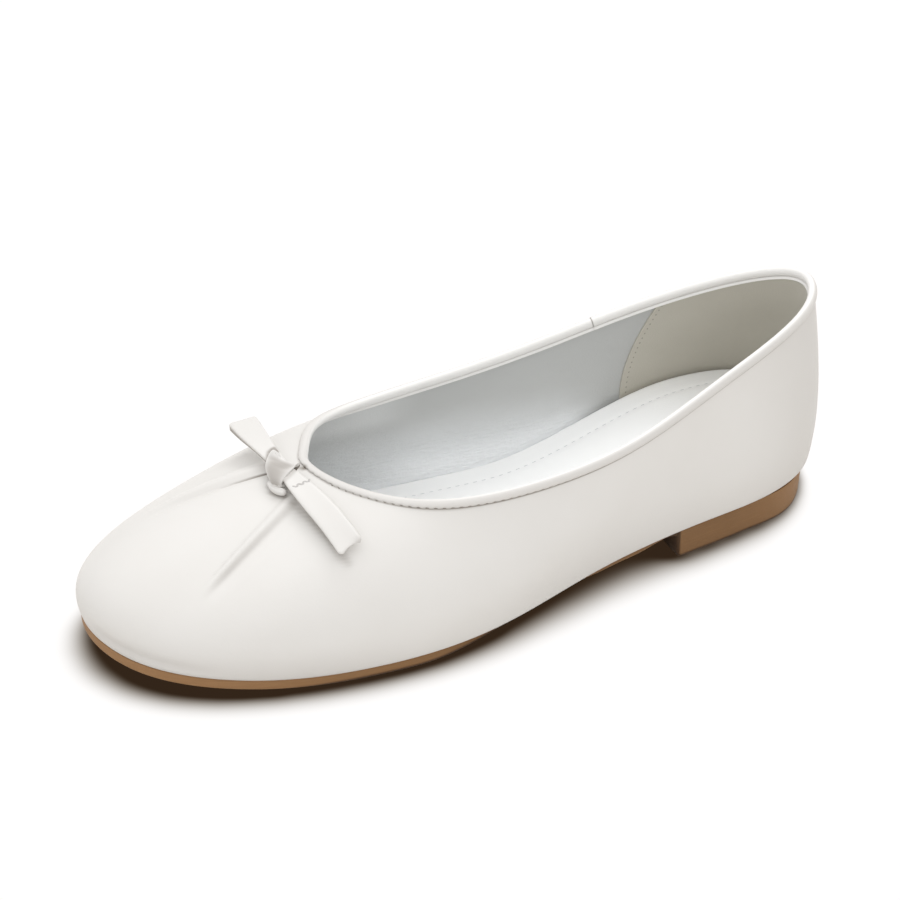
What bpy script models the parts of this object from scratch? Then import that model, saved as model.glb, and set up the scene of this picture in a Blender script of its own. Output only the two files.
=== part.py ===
# Ballet flat for the left foot: a thin white upper with a bound collar, a knotted bow
# on the vamp, a padded insole and a tan moulded sole with a low heel.
# World frame: +X to the toe, +Y to the outer side, +Z up, floor at z = 0.
# The last is worked out in millimetres from the back of the heel and scaled to metres.

import math
from collections import namedtuple

import bmesh
import bpy
import numpy as np

MM = 0.001

# Driving sizes of the last
LENGTH = 240.0            # back of the heel to the toe tip, along the feather edge
BALL_WIDTH = 84.0         # width of the feather edge at the ball
INSTEP_HEIGHT = 45.0      # collar above the floor at the throat
BACK_HEIGHT = 67.5        # collar above the floor at the back of the heel
HEEL_HEIGHT = 10.6        # feather edge above the floor at the heel seat
TOE_SPRING = 6.0          # rise of the sole at the toe tip
ORIGIN_X = 120.0          # middle of the shoe, from the back of the heel
ORIGIN_Y = 0.5            # middle of the shoe, from the line of the heel

# Upper
WALL = 1.3                # leather and lining together
EDGE_RADIUS = 1.8         # roll of the upper at the feather edge
LASTING_MARGIN = 8.0      # width of the upper turned in under the insole
AROUND = 96               # meridians round the shoe
WALL_STEPS = 11           # rings from feather edge to collar
FINE_STEPS = 60           # rings where a height is looked up on the wall

# Sole
SOLE_THICKNESS = 3.9      # forefoot, feather edge above the floor
WAIST_THICKNESS = 2.2
BALL_STATION = 170.0      # the toe spring starts here
ARCH_FRONT = 165.0        # the feather edge starts to climb to the heel
ARCH_BACK = 40.0          # and is level from here back
PAD_END = 124.6           # back end of the forefoot pad
BREAST = 60.0             # front face of the heel
STEP_RUN = 0.8            # slope of the two step faces
SOLE_EDGE = 0.9           # rounding of the sole's lower edge
HEEL_TAPER = 0.8          # the heel draws in this much from top to bottom at its back
PAD_STEPS = 26            # sections along the forefoot, the waist and the heel
WAIST_STEPS = 8
HEEL_STEPS = 18

# Insole
INSOLE_THICKNESS = 2.0
WEDGE_HEIGHT = 10.8       # padding under the heel
WEDGE_FRONT = 103.0
WEDGE_BACK = 32.0
INSOLE_EDGE = 1.0
INSOLE_INSET = 2.3        # lower edge of the insole, in from the feather edge

# Binding of the collar
BINDING_LEG = 1.6         # how far it laps down the wall
BINDING_SKIN = 0.4
BINDING_ARC = 5           # steps over the bead

# Bow
TAIL_THICKNESS = 1.8
TAIL_EDGE = 0.5           # rounding of the strip's folded edges
TAIL_STEPS = 28
TAIL_COLUMNS = 4
KNOT_CENTER = (176.4, -6.8, 47.5)
KNOT_RADIUS = 4.5         # middle of the wrapped strip, across the tails
KNOT_SKIN = 0.8           # half the thickness of the wrapped strip
KNOT_LENGTH = 9.2         # along the strip
KNOT_SKEW = 0.45          # the wrap crosses the strip at a slant, so much per unit toward the toe
KNOT_SQUASH = 0.60        # height of the wrap as a share of its width
KNOT_LEAN = 8.0           # degrees, nose down with the vamp

GAP = 0.3                 # clearance between pieces that meet
SHARP_ANGLE = 35.0        # degrees, edges that stay sharp when shaded

Section = namedtuple('Section', 'name station outer inner collar_station collar_outer collar_inner '
                                'climb belly rise reach drop')

# station and collar_station are shares of LENGTH. outer and inner are shares of BALL_WIDTH, for the
# feather edge and for the collar. climb runs from INSTEP_HEIGHT (0) to BACK_HEIGHT (1).
# belly and rise shape the wall above the feather edge, reach and drop below the collar, in millimetres.
SECTIONS = (
    Section('toe tip',     1.000, -0.075, 0.075, 0.700, -0.104, 0.104, 0.01, 8.0, 20.5, 37.5, 4.7),
    Section('toe corner',  0.971, 0.175, 0.312, 0.690, 0.013, 0.187, 0.00, 5.0, 19.5, 22.7, 6.0),
    Section('toe side',    0.888, 0.356, 0.440, 0.665, 0.151, 0.295, 0.01, 3.0, 20.0, 14.4, 6.0),
    Section('ball',        0.717, 0.490, 0.495, 0.576, 0.332, 0.392, -0.04, 4.0, 18.0, 5.8, 10.2),
    Section('waist front', 0.542, 0.496, 0.446, 0.440, 0.389, 0.398, 0.02, 4.0, 16.0, 4.0, 14.0),
    Section('waist',       0.383, 0.393, 0.362, 0.318, 0.367, 0.377, 0.20, 5.0, 15.0, 2.0, 14.0),
    Section('heel front',  0.217, 0.327, 0.352, 0.180, 0.277, 0.316, 0.55, 4.0, 16.0, 2.0, 16.0),
    Section('heel corner', 0.036, 0.166, 0.285, 0.031, 0.124, 0.132, 0.98, 3.9, 18.0, 1.9, 16.0),
    Section('heel back',   0.000, -0.050, 0.050, 0.008, -0.006, 0.006, 1.04, 2.9, 20.0, 1.6, 16.0),
)

Inset = namedtuple('Inset', 'station edge')

# How far the sole's upper edge stands in from the feather edge
SOLE_INSETS = (
    Inset(0.0, 2.5),
    Inset(20.0, 0.0),
    Inset(36.0, 1.2),
    Inset(BREAST, 1.0),
    Inset(85.0, 2.0),
    Inset(116.0, 5.2),
    Inset(156.0, 0.65),
    Inset(LENGTH, 0.5),
)

Fold = namedtuple('Fold', 'x y z width lean')

# The bow's strip from its inner end, through the knot, to its outer end.
# lean is the rise of the strip toward the heel, as a share of its width.
TAIL_FOLDS = (
    Fold(176.9, -34.4, 46.7, 7.4, 0.03),
    Fold(176.9, -25.5, 47.7, 6.7, 0.04),
    Fold(176.8, -16.5, 48.1, 5.2, 0.08),
    Fold(176.4, -6.8, 47.5, 4.8, 0.13),
    Fold(175.5, 1.5, 46.9, 6.2, 0.15),
    Fold(173.9, 10.5, 45.4, 7.8, 0.21),
    Fold(172.2, 20.5, 43.0, 8.0, 0.32),
    Fold(170.9, 29.7, 39.8, 8.0, 0.45),
)

Finish = namedtuple('Finish', 'color roughness')

FINISHES = {
    'upper': Finish((0.84, 0.82, 0.79), 0.42),
    'topline_binding': Finish((0.86, 0.84, 0.81), 0.45),
    'bow_tails': Finish((0.85, 0.83, 0.80), 0.45),
    'bow_knot': Finish((0.85, 0.83, 0.80), 0.45),
    'insole': Finish((0.74, 0.76, 0.78), 0.65),
    'outsole': Finish((0.34, 0.19, 0.10), 0.60),
}


def smoothstep(value):
    t = np.clip(value, 0.0, 1.0)
    return t * t * (3.0 - 2.0 * t)


def toe_lift(x):
    t = np.clip((x - BALL_STATION) / (LENGTH - BALL_STATION), 0.0, None)
    return TOE_SPRING * t * t


def feather_height(x):
    climb = smoothstep((ARCH_FRONT - x) / (ARCH_FRONT - ARCH_BACK))
    return SOLE_THICKNESS + toe_lift(x) + (HEEL_HEIGHT - SOLE_THICKNESS) * climb


def insole_height(x):
    wedge = WEDGE_HEIGHT * smoothstep((WEDGE_FRONT - x) / (WEDGE_FRONT - WEDGE_BACK))
    return feather_height(x) + WALL + GAP + INSOLE_THICKNESS + wedge


def sole_inset(x):
    # Eases from one row of the table to the next
    stations = [row.station for row in SOLE_INSETS]
    k = np.clip(np.searchsorted(stations, x) - 1, 0, len(stations) - 2)
    rows = np.array(SOLE_INSETS)
    share = (x - rows[k, 0]) / (rows[k + 1, 0] - rows[k, 0])
    return rows[k, 1] + (rows[k + 1, 1] - rows[k, 1]) * smoothstep(share)


def unit(vectors):
    return vectors / np.linalg.norm(vectors, axis=-1, keepdims=True)


def closed_spline(knots, values, at):
    # Smooth closed curve through the values, one more knot than values
    spans = np.diff(knots)
    count = len(spans)
    after = np.roll(values, -1, axis=0)
    slopes = (after - values) / spans[:, None]
    matrix = np.zeros((count, count))
    for i in range(count):
        matrix[i, i - 1] += spans[i - 1]
        matrix[i, i] += 2.0 * (spans[i - 1] + spans[i])
        matrix[i, (i + 1) % count] += spans[i]
    bend = np.linalg.solve(matrix, 6.0 * (slopes - np.roll(slopes, 1, axis=0)))
    place = np.mod(at, knots[-1])
    k = np.clip(np.searchsorted(knots, place, side='right') - 1, 0, count - 1)
    t = (place - knots[k])[:, None]
    rest = spans[k][:, None] - t
    span = spans[k][:, None]
    next_bend = np.roll(bend, -1, axis=0)[k]
    cubic = (bend[k] * rest ** 3 + next_bend * t ** 3) / (6.0 * span)
    start = (values[k] / span - bend[k] * span / 6.0) * rest
    end = (after[k] / span - next_bend * span / 6.0) * t
    return cubic + start + end


def open_spline(knots, values, at):
    # Smooth open curve through the values
    spans = np.diff(knots)
    count = len(knots)
    slopes = np.diff(values, axis=0) / spans[:, None]
    matrix = np.eye(count)
    right = np.zeros_like(values)
    for i in range(1, count - 1):
        matrix[i, i - 1:i + 2] = (spans[i - 1], 2.0 * (spans[i - 1] + spans[i]), spans[i])
        right[i] = 6.0 * (slopes[i] - slopes[i - 1])
    bend = np.linalg.solve(matrix, right)
    k = np.clip(np.searchsorted(knots, at, side='right') - 1, 0, count - 2)
    t = (at - knots[k])[:, None]
    span = spans[k][:, None]
    rest = span - t
    cubic = (bend[k] * rest ** 3 + bend[k + 1] * t ** 3) / (6.0 * span)
    start = (values[k] / span - bend[k] * span / 6.0) * rest
    end = (values[k + 1] / span - bend[k + 1] * span / 6.0) * t
    return cubic + start + end


class Last:
    # The feather edge, the collar and the wall's handles as one closed spline, which
    # starts at the toe tip and runs back along the outer side and forward on the inner.

    def __init__(self, sections):
        outer = [self.row(s, s.outer, s.collar_outer) for s in sections]
        inner = [self.row(s, -s.inner, -s.collar_inner) for s in sections[-2:0:-1]]
        self.values = np.array(outer + inner)
        chords = np.roll(self.values[:, :2], -1, axis=0) - self.values[:, :2]
        self.knots = np.concatenate([[0.0], np.cumsum(np.linalg.norm(chords, axis=1))])
        self.heel = self.knots[len(sections) - 1]
        self.end = self.knots[-1]

    def row(self, s, side, collar_side):
        collar_z = INSTEP_HEIGHT + (BACK_HEIGHT - INSTEP_HEIGHT) * s.climb
        return (s.station * LENGTH, side * BALL_WIDTH, s.collar_station * LENGTH,
                collar_side * BALL_WIDTH, collar_z, s.belly, s.rise, s.reach, s.drop)

    def rows(self, at):
        return closed_spline(self.knots, self.values, at)

    def even(self, start, stop, steps):
        # Spline positions at even distances along the feather edge, both ends included
        fine = np.linspace(start, stop, FINE_STEPS * steps + 1)
        edge = self.rows(fine)[:, :2]
        walked = np.linalg.norm(np.diff(edge, axis=0), axis=1)
        distance = np.concatenate([[0.0], np.cumsum(walked)])
        return np.interp(np.linspace(0.0, distance[-1], steps + 1), distance, fine)

    def position(self, station, outer_side):
        # Where one side of the feather edge passes a station, or its end at toe or heel
        tip = 0.0 if outer_side else self.end
        if station >= LENGTH:
            return tip
        if station <= 0.0:
            return self.heel
        fine = np.linspace(tip, self.heel, FINE_STEPS * AROUND)
        return np.interp(-station, -self.rows(fine)[:, 0], fine)

    def outward(self, at):
        # Level normal of the feather edge
        along = self.rows(at + GAP)[:, :2] - self.rows(at - GAP)[:, :2]
        return unit(np.stack([along[:, 1], -along[:, 0]], axis=1))

    def edge(self, at, inset):
        # Plan of the feather edge, drawn in by an inset
        return self.rows(at)[:, :2] - self.outward(at) * np.reshape(inset, (-1, 1))

    def wall(self, at, steps):
        # Outer face of the wall, from the roll at the feather edge up to the collar
        q = self.rows(at)
        normal = np.column_stack([self.outward(at), np.zeros(len(at))])
        up = np.array([0.0, 0.0, 1.0])
        foot = np.column_stack([q[:, 0], q[:, 1], feather_height(q[:, 0])])
        collar = q[:, 2:5]
        belly, rise, reach, drop = (q[:, i, None] for i in range(5, 9))
        start = foot + up * EDGE_RADIUS
        lower = foot + normal * belly + up * rise
        upper = collar + normal * reach - up * drop
        t = np.linspace(0.0, 1.0, steps + 1)[None, :, None]
        s = 1.0 - t
        ends = s ** 3 * start[:, None] + t ** 3 * collar[:, None]
        handles = 3.0 * s ** 2 * t * lower[:, None] + 3.0 * s * t ** 2 * upper[:, None]
        return ends + handles


LAST = Last(SECTIONS)


def make_object(name, vertices, faces):
    mesh = bpy.data.meshes.new(name)
    mesh.from_pydata([tuple(MM * float(c) for c in v) for v in vertices], [], faces)
    return bpy.data.objects.new(name, mesh)


def loft(name, rings, closed):
    # Skin over a row of equal rings of points. Rings that shrink to a line close the ends.
    count, size = rings.shape[:2]
    faces = []
    for i in range(count if closed else count - 1):
        for j in range(size):
            a = i * size
            b = (i + 1) % count * size
            k = (j + 1) % size
            faces.append((a + j, b + j, b + k, a + k))
    piece = make_object(name, rings.reshape(-1, 3), faces)
    weld(piece)
    return piece


def weld(piece):
    bm = bmesh.new()
    bm.from_mesh(piece.data)
    bmesh.ops.remove_doubles(bm, verts=bm.verts, dist=0.00001)
    bmesh.ops.recalc_face_normals(bm, faces=bm.faces)
    bm.to_mesh(piece.data)
    bm.free()


def build_upper():
    at = LAST.even(0.0, LAST.end, AROUND)[:-1]
    half_roll = EDGE_RADIUS * (1.0 - math.sqrt(0.5))
    turned = []
    for inset, lift in ((EDGE_RADIUS + LASTING_MARGIN, 0.0), (EDGE_RADIUS, 0.0), (half_roll, half_roll)):
        plan = LAST.edge(at, inset)
        turned.append(np.column_stack([plan, feather_height(plan[:, 0]) + lift]))
    wall = LAST.wall(at, WALL_STEPS)
    skin = np.concatenate([np.stack(turned, axis=1), wall], axis=1)
    size = skin.shape[1]
    faces = []
    for i in range(AROUND):
        a = i * size
        b = (i + 1) % AROUND * size
        for j in range(size - 1):
            faces.append((a + j, b + j, b + j + 1, a + j + 1))
    upper = make_object('upper', skin.reshape(-1, 3), faces)
    shell = upper.modifiers.new('wall', 'SOLIDIFY')
    shell.thickness = WALL * MM
    shell.offset = -1.0
    shell.use_even_offset = True
    shell.use_quality_normals = True
    return upper


def build_binding():
    at = LAST.even(0.0, LAST.end, AROUND)[:-1]
    wall = LAST.wall(at, WALL_STEPS)
    edge = wall[:, -1]
    up = unit(edge - wall[:, -2])
    along = unit(np.roll(edge, -1, axis=0) - np.roll(edge, 1, axis=0))
    out = unit(np.cross(along, up))
    up = unit(np.cross(out, along))
    half = WALL / 2.0 + GAP + BINDING_SKIN
    section = [(half, -BINDING_LEG)]
    for i in range(BINDING_ARC + 1):
        turn = math.pi * i / BINDING_ARC
        section.append((half * math.cos(turn), GAP + half * math.sin(turn)))
    inside = half - BINDING_SKIN
    section += [(-half, -BINDING_LEG), (-inside, -BINDING_LEG), (-inside, GAP)]
    section += [(inside, GAP), (inside, -BINDING_LEG)]
    rings = [edge + out * (a - WALL / 2.0) + up * b for a, b in section]
    return loft('topline_binding', np.stack(rings, axis=1), True)


def sole_run(front, back, steps, bottom, taper):
    # Rings across the sole between two stations: upper edge, wall and rounded lower edge
    # of the outer side, then the same of the inner side in the other order
    sides = []
    for outer_side in (True, False):
        at = LAST.even(LAST.position(front, outer_side), LAST.position(back, outer_side), steps)
        station = LAST.rows(at)[:, 0]
        inset = sole_inset(station)
        ground = bottom(station)
        top = LAST.edge(at, inset)
        low = LAST.edge(at, inset + taper(station))
        rim = LAST.edge(at, inset + taper(station) + SOLE_EDGE)
        rows = (np.column_stack([top, feather_height(top[:, 0]) - GAP]),
                np.column_stack([low, ground + SOLE_EDGE]),
                np.column_stack([rim, ground]))
        sides.append(np.stack(rows, axis=1))
    return np.concatenate([sides[0], sides[1][:, ::-1]], axis=1)


def build_outsole():
    def waist_bottom(x):
        return feather_height(x) - GAP - WAIST_THICKNESS

    def heel_taper(x):
        return HEEL_TAPER * np.clip((BREAST - x) / BREAST, 0.0, 1.0)

    pad = sole_run(LENGTH, PAD_END, PAD_STEPS, toe_lift, np.zeros_like)
    waist = sole_run(PAD_END - STEP_RUN, BREAST + STEP_RUN, WAIST_STEPS, waist_bottom, np.zeros_like)
    heel = sole_run(BREAST, 0.0, HEEL_STEPS, np.zeros_like, heel_taper)
    return loft('outsole', np.concatenate([pad, waist, heel]), False)


def build_insole():
    at_sides = (LAST.even(0.0, LAST.heel, AROUND // 2), LAST.even(LAST.end, LAST.heel, AROUND // 2))
    sides = []
    for at in at_sides:
        wall = LAST.wall(at, FINE_STEPS)
        low = LAST.edge(at, INSOLE_INSET)
        low = np.column_stack([low, feather_height(low[:, 0]) + WALL + GAP])
        top = []
        for i, column in enumerate(wall):
            z = insole_height(low[i, 0])
            top.append([np.interp(z, column[:, 2], column[:, axis]) for axis in range(3)])
        top = np.array(top)
        normal = np.column_stack([LAST.outward(at), np.zeros(len(at))])
        rim = top - normal * (WALL + 3.0 * GAP)
        rim[:, 2] = insole_height(rim[:, 0]) - INSOLE_EDGE
        face = rim - normal * INSOLE_EDGE
        face[:, 2] = insole_height(face[:, 0])
        sides.append(np.stack([low, rim, face], axis=1))
    return loft('insole', np.concatenate([sides[0], sides[1][:, ::-1]], axis=1), False)


def build_tails():
    folds = np.array(TAIL_FOLDS)
    walked = np.concatenate([[0.0], np.cumsum(np.linalg.norm(np.diff(folds[:, :3], axis=0), axis=1))])
    at = np.linspace(0.0, walked[-1], TAIL_STEPS + 1)
    rows = open_spline(walked, folds, at)
    across = unit(np.column_stack([-np.ones(len(at)), np.zeros(len(at)), rows[:, 4]]))
    bpy.ops.mesh.primitive_grid_add(x_subdivisions=TAIL_COLUMNS, y_subdivisions=TAIL_STEPS, size=1.0)
    tails = bpy.context.object
    tails.name = 'bow_tails'
    tails.data.name = 'bow_tails'
    for vertex in tails.data.vertices:
        i = round((vertex.co.y + 0.5) * TAIL_STEPS)
        vertex.co = (rows[i, :3] + across[i] * rows[i, 3] * vertex.co.x) * MM
    shell = tails.modifiers.new('strip', 'SOLIDIFY')
    shell.thickness = TAIL_THICKNESS * MM
    shell.offset = 0.0
    round_edge = tails.modifiers.new('folded edge', 'BEVEL')
    round_edge.width = TAIL_EDGE * MM
    round_edge.segments = 2
    round_edge.limit_method = 'ANGLE'
    return tails


def build_knot():
    bpy.ops.mesh.primitive_torus_add(major_radius=KNOT_RADIUS * MM, minor_radius=KNOT_SKIN * MM,
                                     major_segments=24, minor_segments=10)
    knot = bpy.context.object
    knot.name = 'bow_knot'
    knot.data.name = 'bow_knot'
    lean = math.radians(KNOT_LEAN)
    stretch = KNOT_LENGTH / (2.0 * KNOT_SKIN)
    for vertex in knot.data.vertices:
        x = vertex.co.x
        z = vertex.co.y * KNOT_SQUASH
        y = vertex.co.z * stretch + x * KNOT_SKEW
        turned = (x * math.cos(lean) + z * math.sin(lean), y, z * math.cos(lean) - x * math.sin(lean))
        vertex.co = [c + MM * k for c, k in zip(turned, KNOT_CENTER)]
    weld(knot)
    return knot


def give_finish(piece):
    finish = FINISHES[piece.name]
    material = bpy.data.materials.new(piece.name)
    material.use_nodes = True
    surface = material.node_tree.nodes['Principled BSDF']
    surface.inputs['Base Color'].default_value = (*finish.color, 1.0)
    surface.inputs['Roughness'].default_value = finish.roughness
    surface.inputs['Metallic'].default_value = 0.0
    piece.data.materials.append(material)
    piece.data.shade_smooth()
    piece.data.set_sharp_from_angle(angle=math.radians(SHARP_ANGLE))


def main():
    for item in list(bpy.data.objects):
        bpy.data.objects.remove(item, do_unlink=True)
    shoe = bpy.data.collections.new('ballet_flat')
    bpy.context.scene.collection.children.link(shoe)
    origin = bpy.data.objects.new('shoe_origin', None)
    origin.location = (-ORIGIN_X * MM, -ORIGIN_Y * MM, 0.0)
    shoe.objects.link(origin)
    for build in (build_outsole, build_upper, build_insole, build_binding, build_tails, build_knot):
        piece = build()
        for home in list(piece.users_collection):
            home.objects.unlink(piece)
        shoe.objects.link(piece)
        piece.parent = origin
        give_finish(piece)


main()
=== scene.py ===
# Ballet flat for the left foot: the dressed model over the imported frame.
# Lengths are millimetres from the back of the heel, on the floor, until toWorld makes metres of them.

import math

import bpy
import numpy as np
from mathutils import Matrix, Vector
from mathutils.bvhtree import BVHTree


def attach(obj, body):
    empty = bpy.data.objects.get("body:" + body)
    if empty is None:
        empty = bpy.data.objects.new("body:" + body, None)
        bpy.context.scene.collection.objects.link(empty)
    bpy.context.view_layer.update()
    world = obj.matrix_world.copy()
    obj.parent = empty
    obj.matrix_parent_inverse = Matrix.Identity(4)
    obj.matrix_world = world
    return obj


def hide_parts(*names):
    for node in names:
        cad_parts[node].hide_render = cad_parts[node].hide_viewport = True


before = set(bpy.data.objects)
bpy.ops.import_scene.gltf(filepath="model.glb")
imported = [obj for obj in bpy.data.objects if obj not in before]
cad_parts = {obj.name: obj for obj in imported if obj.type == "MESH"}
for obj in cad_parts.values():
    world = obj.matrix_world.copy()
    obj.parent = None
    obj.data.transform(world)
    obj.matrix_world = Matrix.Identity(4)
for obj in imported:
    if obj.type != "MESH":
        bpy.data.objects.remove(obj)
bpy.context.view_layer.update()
print("frame loaded:", len(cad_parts), "nodes")

# The last that all pieces are drawn over
shoe = {
    "length": 240.0,
    "ballWidth": 84.0,
    "instepHeight": 45.0,
    "backHeight": 67.5,
    "heelHeight": 10.6,  # feather edge above the floor at the heel seat
    "soleThickness": 3.9,  # and at the forefoot
    "toeSpring": 6.0,
    "ballStation": 170.0,
    "archFront": 165.0,
    "archBack": 40.0,
    "edgeRoll": 1.8,  # roll of the upper at the feather edge
    "lastingMargin": 8.0,
    "wall": 1.3,  # leather and lining together
    "gap": 0.3,
    "origin": (120.0, 0.5, 0.0),  # this point of the last is the frame's origin
}

# station outer inner collarStation collarOuter collarInner climb belly rise reach drop
lastTable = (
    (1.000, -0.075, 0.075, 0.700, -0.104, 0.104, 0.01, 8.0, 20.5, 37.5, 4.7),  # toe tip
    (0.971, 0.175, 0.312, 0.690, 0.013, 0.187, 0.00, 5.0, 19.5, 22.7, 6.0),  # toe corner
    (0.888, 0.356, 0.440, 0.665, 0.151, 0.295, 0.01, 3.0, 20.0, 14.4, 6.0),  # toe side
    (0.717, 0.490, 0.495, 0.576, 0.332, 0.392, -0.04, 4.0, 18.0, 5.8, 10.2),  # ball
    (0.542, 0.496, 0.446, 0.440, 0.389, 0.398, 0.02, 4.0, 16.0, 4.0, 14.0),  # waist front
    (0.383, 0.393, 0.362, 0.318, 0.367, 0.377, 0.20, 5.0, 15.0, 2.0, 14.0),  # waist
    (0.217, 0.327, 0.352, 0.180, 0.277, 0.316, 0.55, 4.0, 16.0, 2.0, 16.0),  # heel front
    (0.036, 0.166, 0.285, 0.031, 0.124, 0.132, 0.98, 3.9, 18.0, 1.9, 16.0),  # heel corner
    (0.000, -0.050, 0.050, 0.008, -0.006, 0.006, 1.04, 2.9, 20.0, 1.6, 16.0),  # heel back
)

# How finely the last is read, and the small steps that give its directions
sampling = {
    "round": 6001,
    "side": 8001,
    "collar": 4001,
    "wall": 81,
    "topWall": (0.6, 1.0, 161),  # shares of the wall below the collar
    "edgeStep": 0.3,
    "collarStep": 1.0,
    "wallStep": 0.5,
    "shareStep": 0.01,
    "slopeShare": 0.91,  # the slope at the collar is read from here up
    "alongShare": 0.97,  # and the direction along it here
}


def smoothStep(value):
    t = np.clip(value, 0.0, 1.0)
    return t * t * (3.0 - 2.0 * t)


def rising(value, start, run):  # 0 up to the start, 1 after the run
    return smoothStep((value - start) / run)


def falling(value, end, run):  # 1 until a run before the end, then down to 0
    return smoothStep((end - value) / run)


def hill(value, width):
    return np.exp(-(value / width) ** 2)


def squarish(value, power):  # makes a round section square, and keeps the sign
    return np.sign(value) * np.abs(value) ** power


def unit(vectors):
    return vectors / np.linalg.norm(vectors, axis=-1, keepdims=True)


def offLine(points, line):  # distance of each point from a chain of straight pieces
    best = np.full(points.shape[:-1], np.inf)
    for first, second in zip(np.array(line[:-1]), np.array(line[1:])):
        run = second - first
        share = np.clip((points - first) @ run / (run @ run), 0.0, 1.0)
        best = np.minimum(best, np.linalg.norm(points - first - share[..., None] * run, axis=-1))
    return best


def walkedAlong(path):  # the way walked to each point of a path
    return np.concatenate([[0.0], np.cumsum(np.linalg.norm(np.diff(path, axis=0), axis=1))])


def evenSteps(path, pitch, start=0.0):  # places, every pitch, along a path
    walked = walkedAlong(path)
    return np.arange(start, walked[-1], pitch), walked


def pathPoints(steps, walked, path):
    return np.stack([np.interp(steps, walked, path[:, axis]) for axis in range(3)], axis=1)


def depthBelow(rows):  # the way from each row of points up to the last one
    steps = np.linalg.norm(np.diff(rows, axis=0), axis=2)
    return np.concatenate([np.cumsum(steps[::-1], axis=0)[::-1], np.zeros((1, rows.shape[1]))])


def toeLift(x):
    t = np.clip((x - shoe["ballStation"]) / (shoe["length"] - shoe["ballStation"]), 0.0, None)
    return shoe["toeSpring"] * t * t


def featherHeight(x):
    climb = falling(x, shoe["archFront"], shoe["archFront"] - shoe["archBack"])
    return shoe["soleThickness"] + toeLift(x) + (shoe["heelHeight"] - shoe["soleThickness"]) * climb


def aboveFeather(points):
    return points[..., 2] - featherHeight(points[..., 0])


def cubicSpan(t, span, first, second, firstBend, secondBend):
    rest = span - t
    cubic = (firstBend * rest ** 3 + secondBend * t ** 3) / (6.0 * span)
    start = (first / span - firstBend * span / 6.0) * rest
    end = (second / span - secondBend * span / 6.0) * t
    return cubic + start + end


def closedSpline(knots, values, at):
    spans = np.diff(knots)
    count = len(spans)
    after = np.roll(values, -1, axis=0)
    slopes = (after - values) / spans[:, None]
    matrix = np.zeros((count, count))
    for i in range(count):
        matrix[i, i - 1] += spans[i - 1]
        matrix[i, i] += 2.0 * (spans[i - 1] + spans[i])
        matrix[i, (i + 1) % count] += spans[i]
    bend = np.linalg.solve(matrix, 6.0 * (slopes - np.roll(slopes, 1, axis=0)))
    place = np.mod(at, knots[-1])
    k = np.clip(np.searchsorted(knots, place, side="right") - 1, 0, count - 1)
    ends = (values[k], after[k], bend[k], np.roll(bend, -1, axis=0)[k])
    return cubicSpan((place - knots[k])[:, None], spans[k][:, None], *ends)


def openSpline(knots, values, at):
    spans = np.diff(knots)
    count = len(knots)
    slopes = np.diff(values, axis=0) / spans[:, None]
    matrix = np.eye(count)
    right = np.zeros_like(values)
    for i in range(1, count - 1):
        matrix[i, i - 1:i + 2] = (spans[i - 1], 2.0 * (spans[i - 1] + spans[i]), spans[i])
        right[i] = 6.0 * (slopes[i] - slopes[i - 1])
    bend = np.linalg.solve(matrix, right)
    k = np.clip(np.searchsorted(knots, at, side="right") - 1, 0, count - 2)
    ends = (values[k], values[k + 1], bend[k], bend[k + 1])
    return cubicSpan((at - knots[k])[:, None], spans[k][:, None], *ends)


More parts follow.
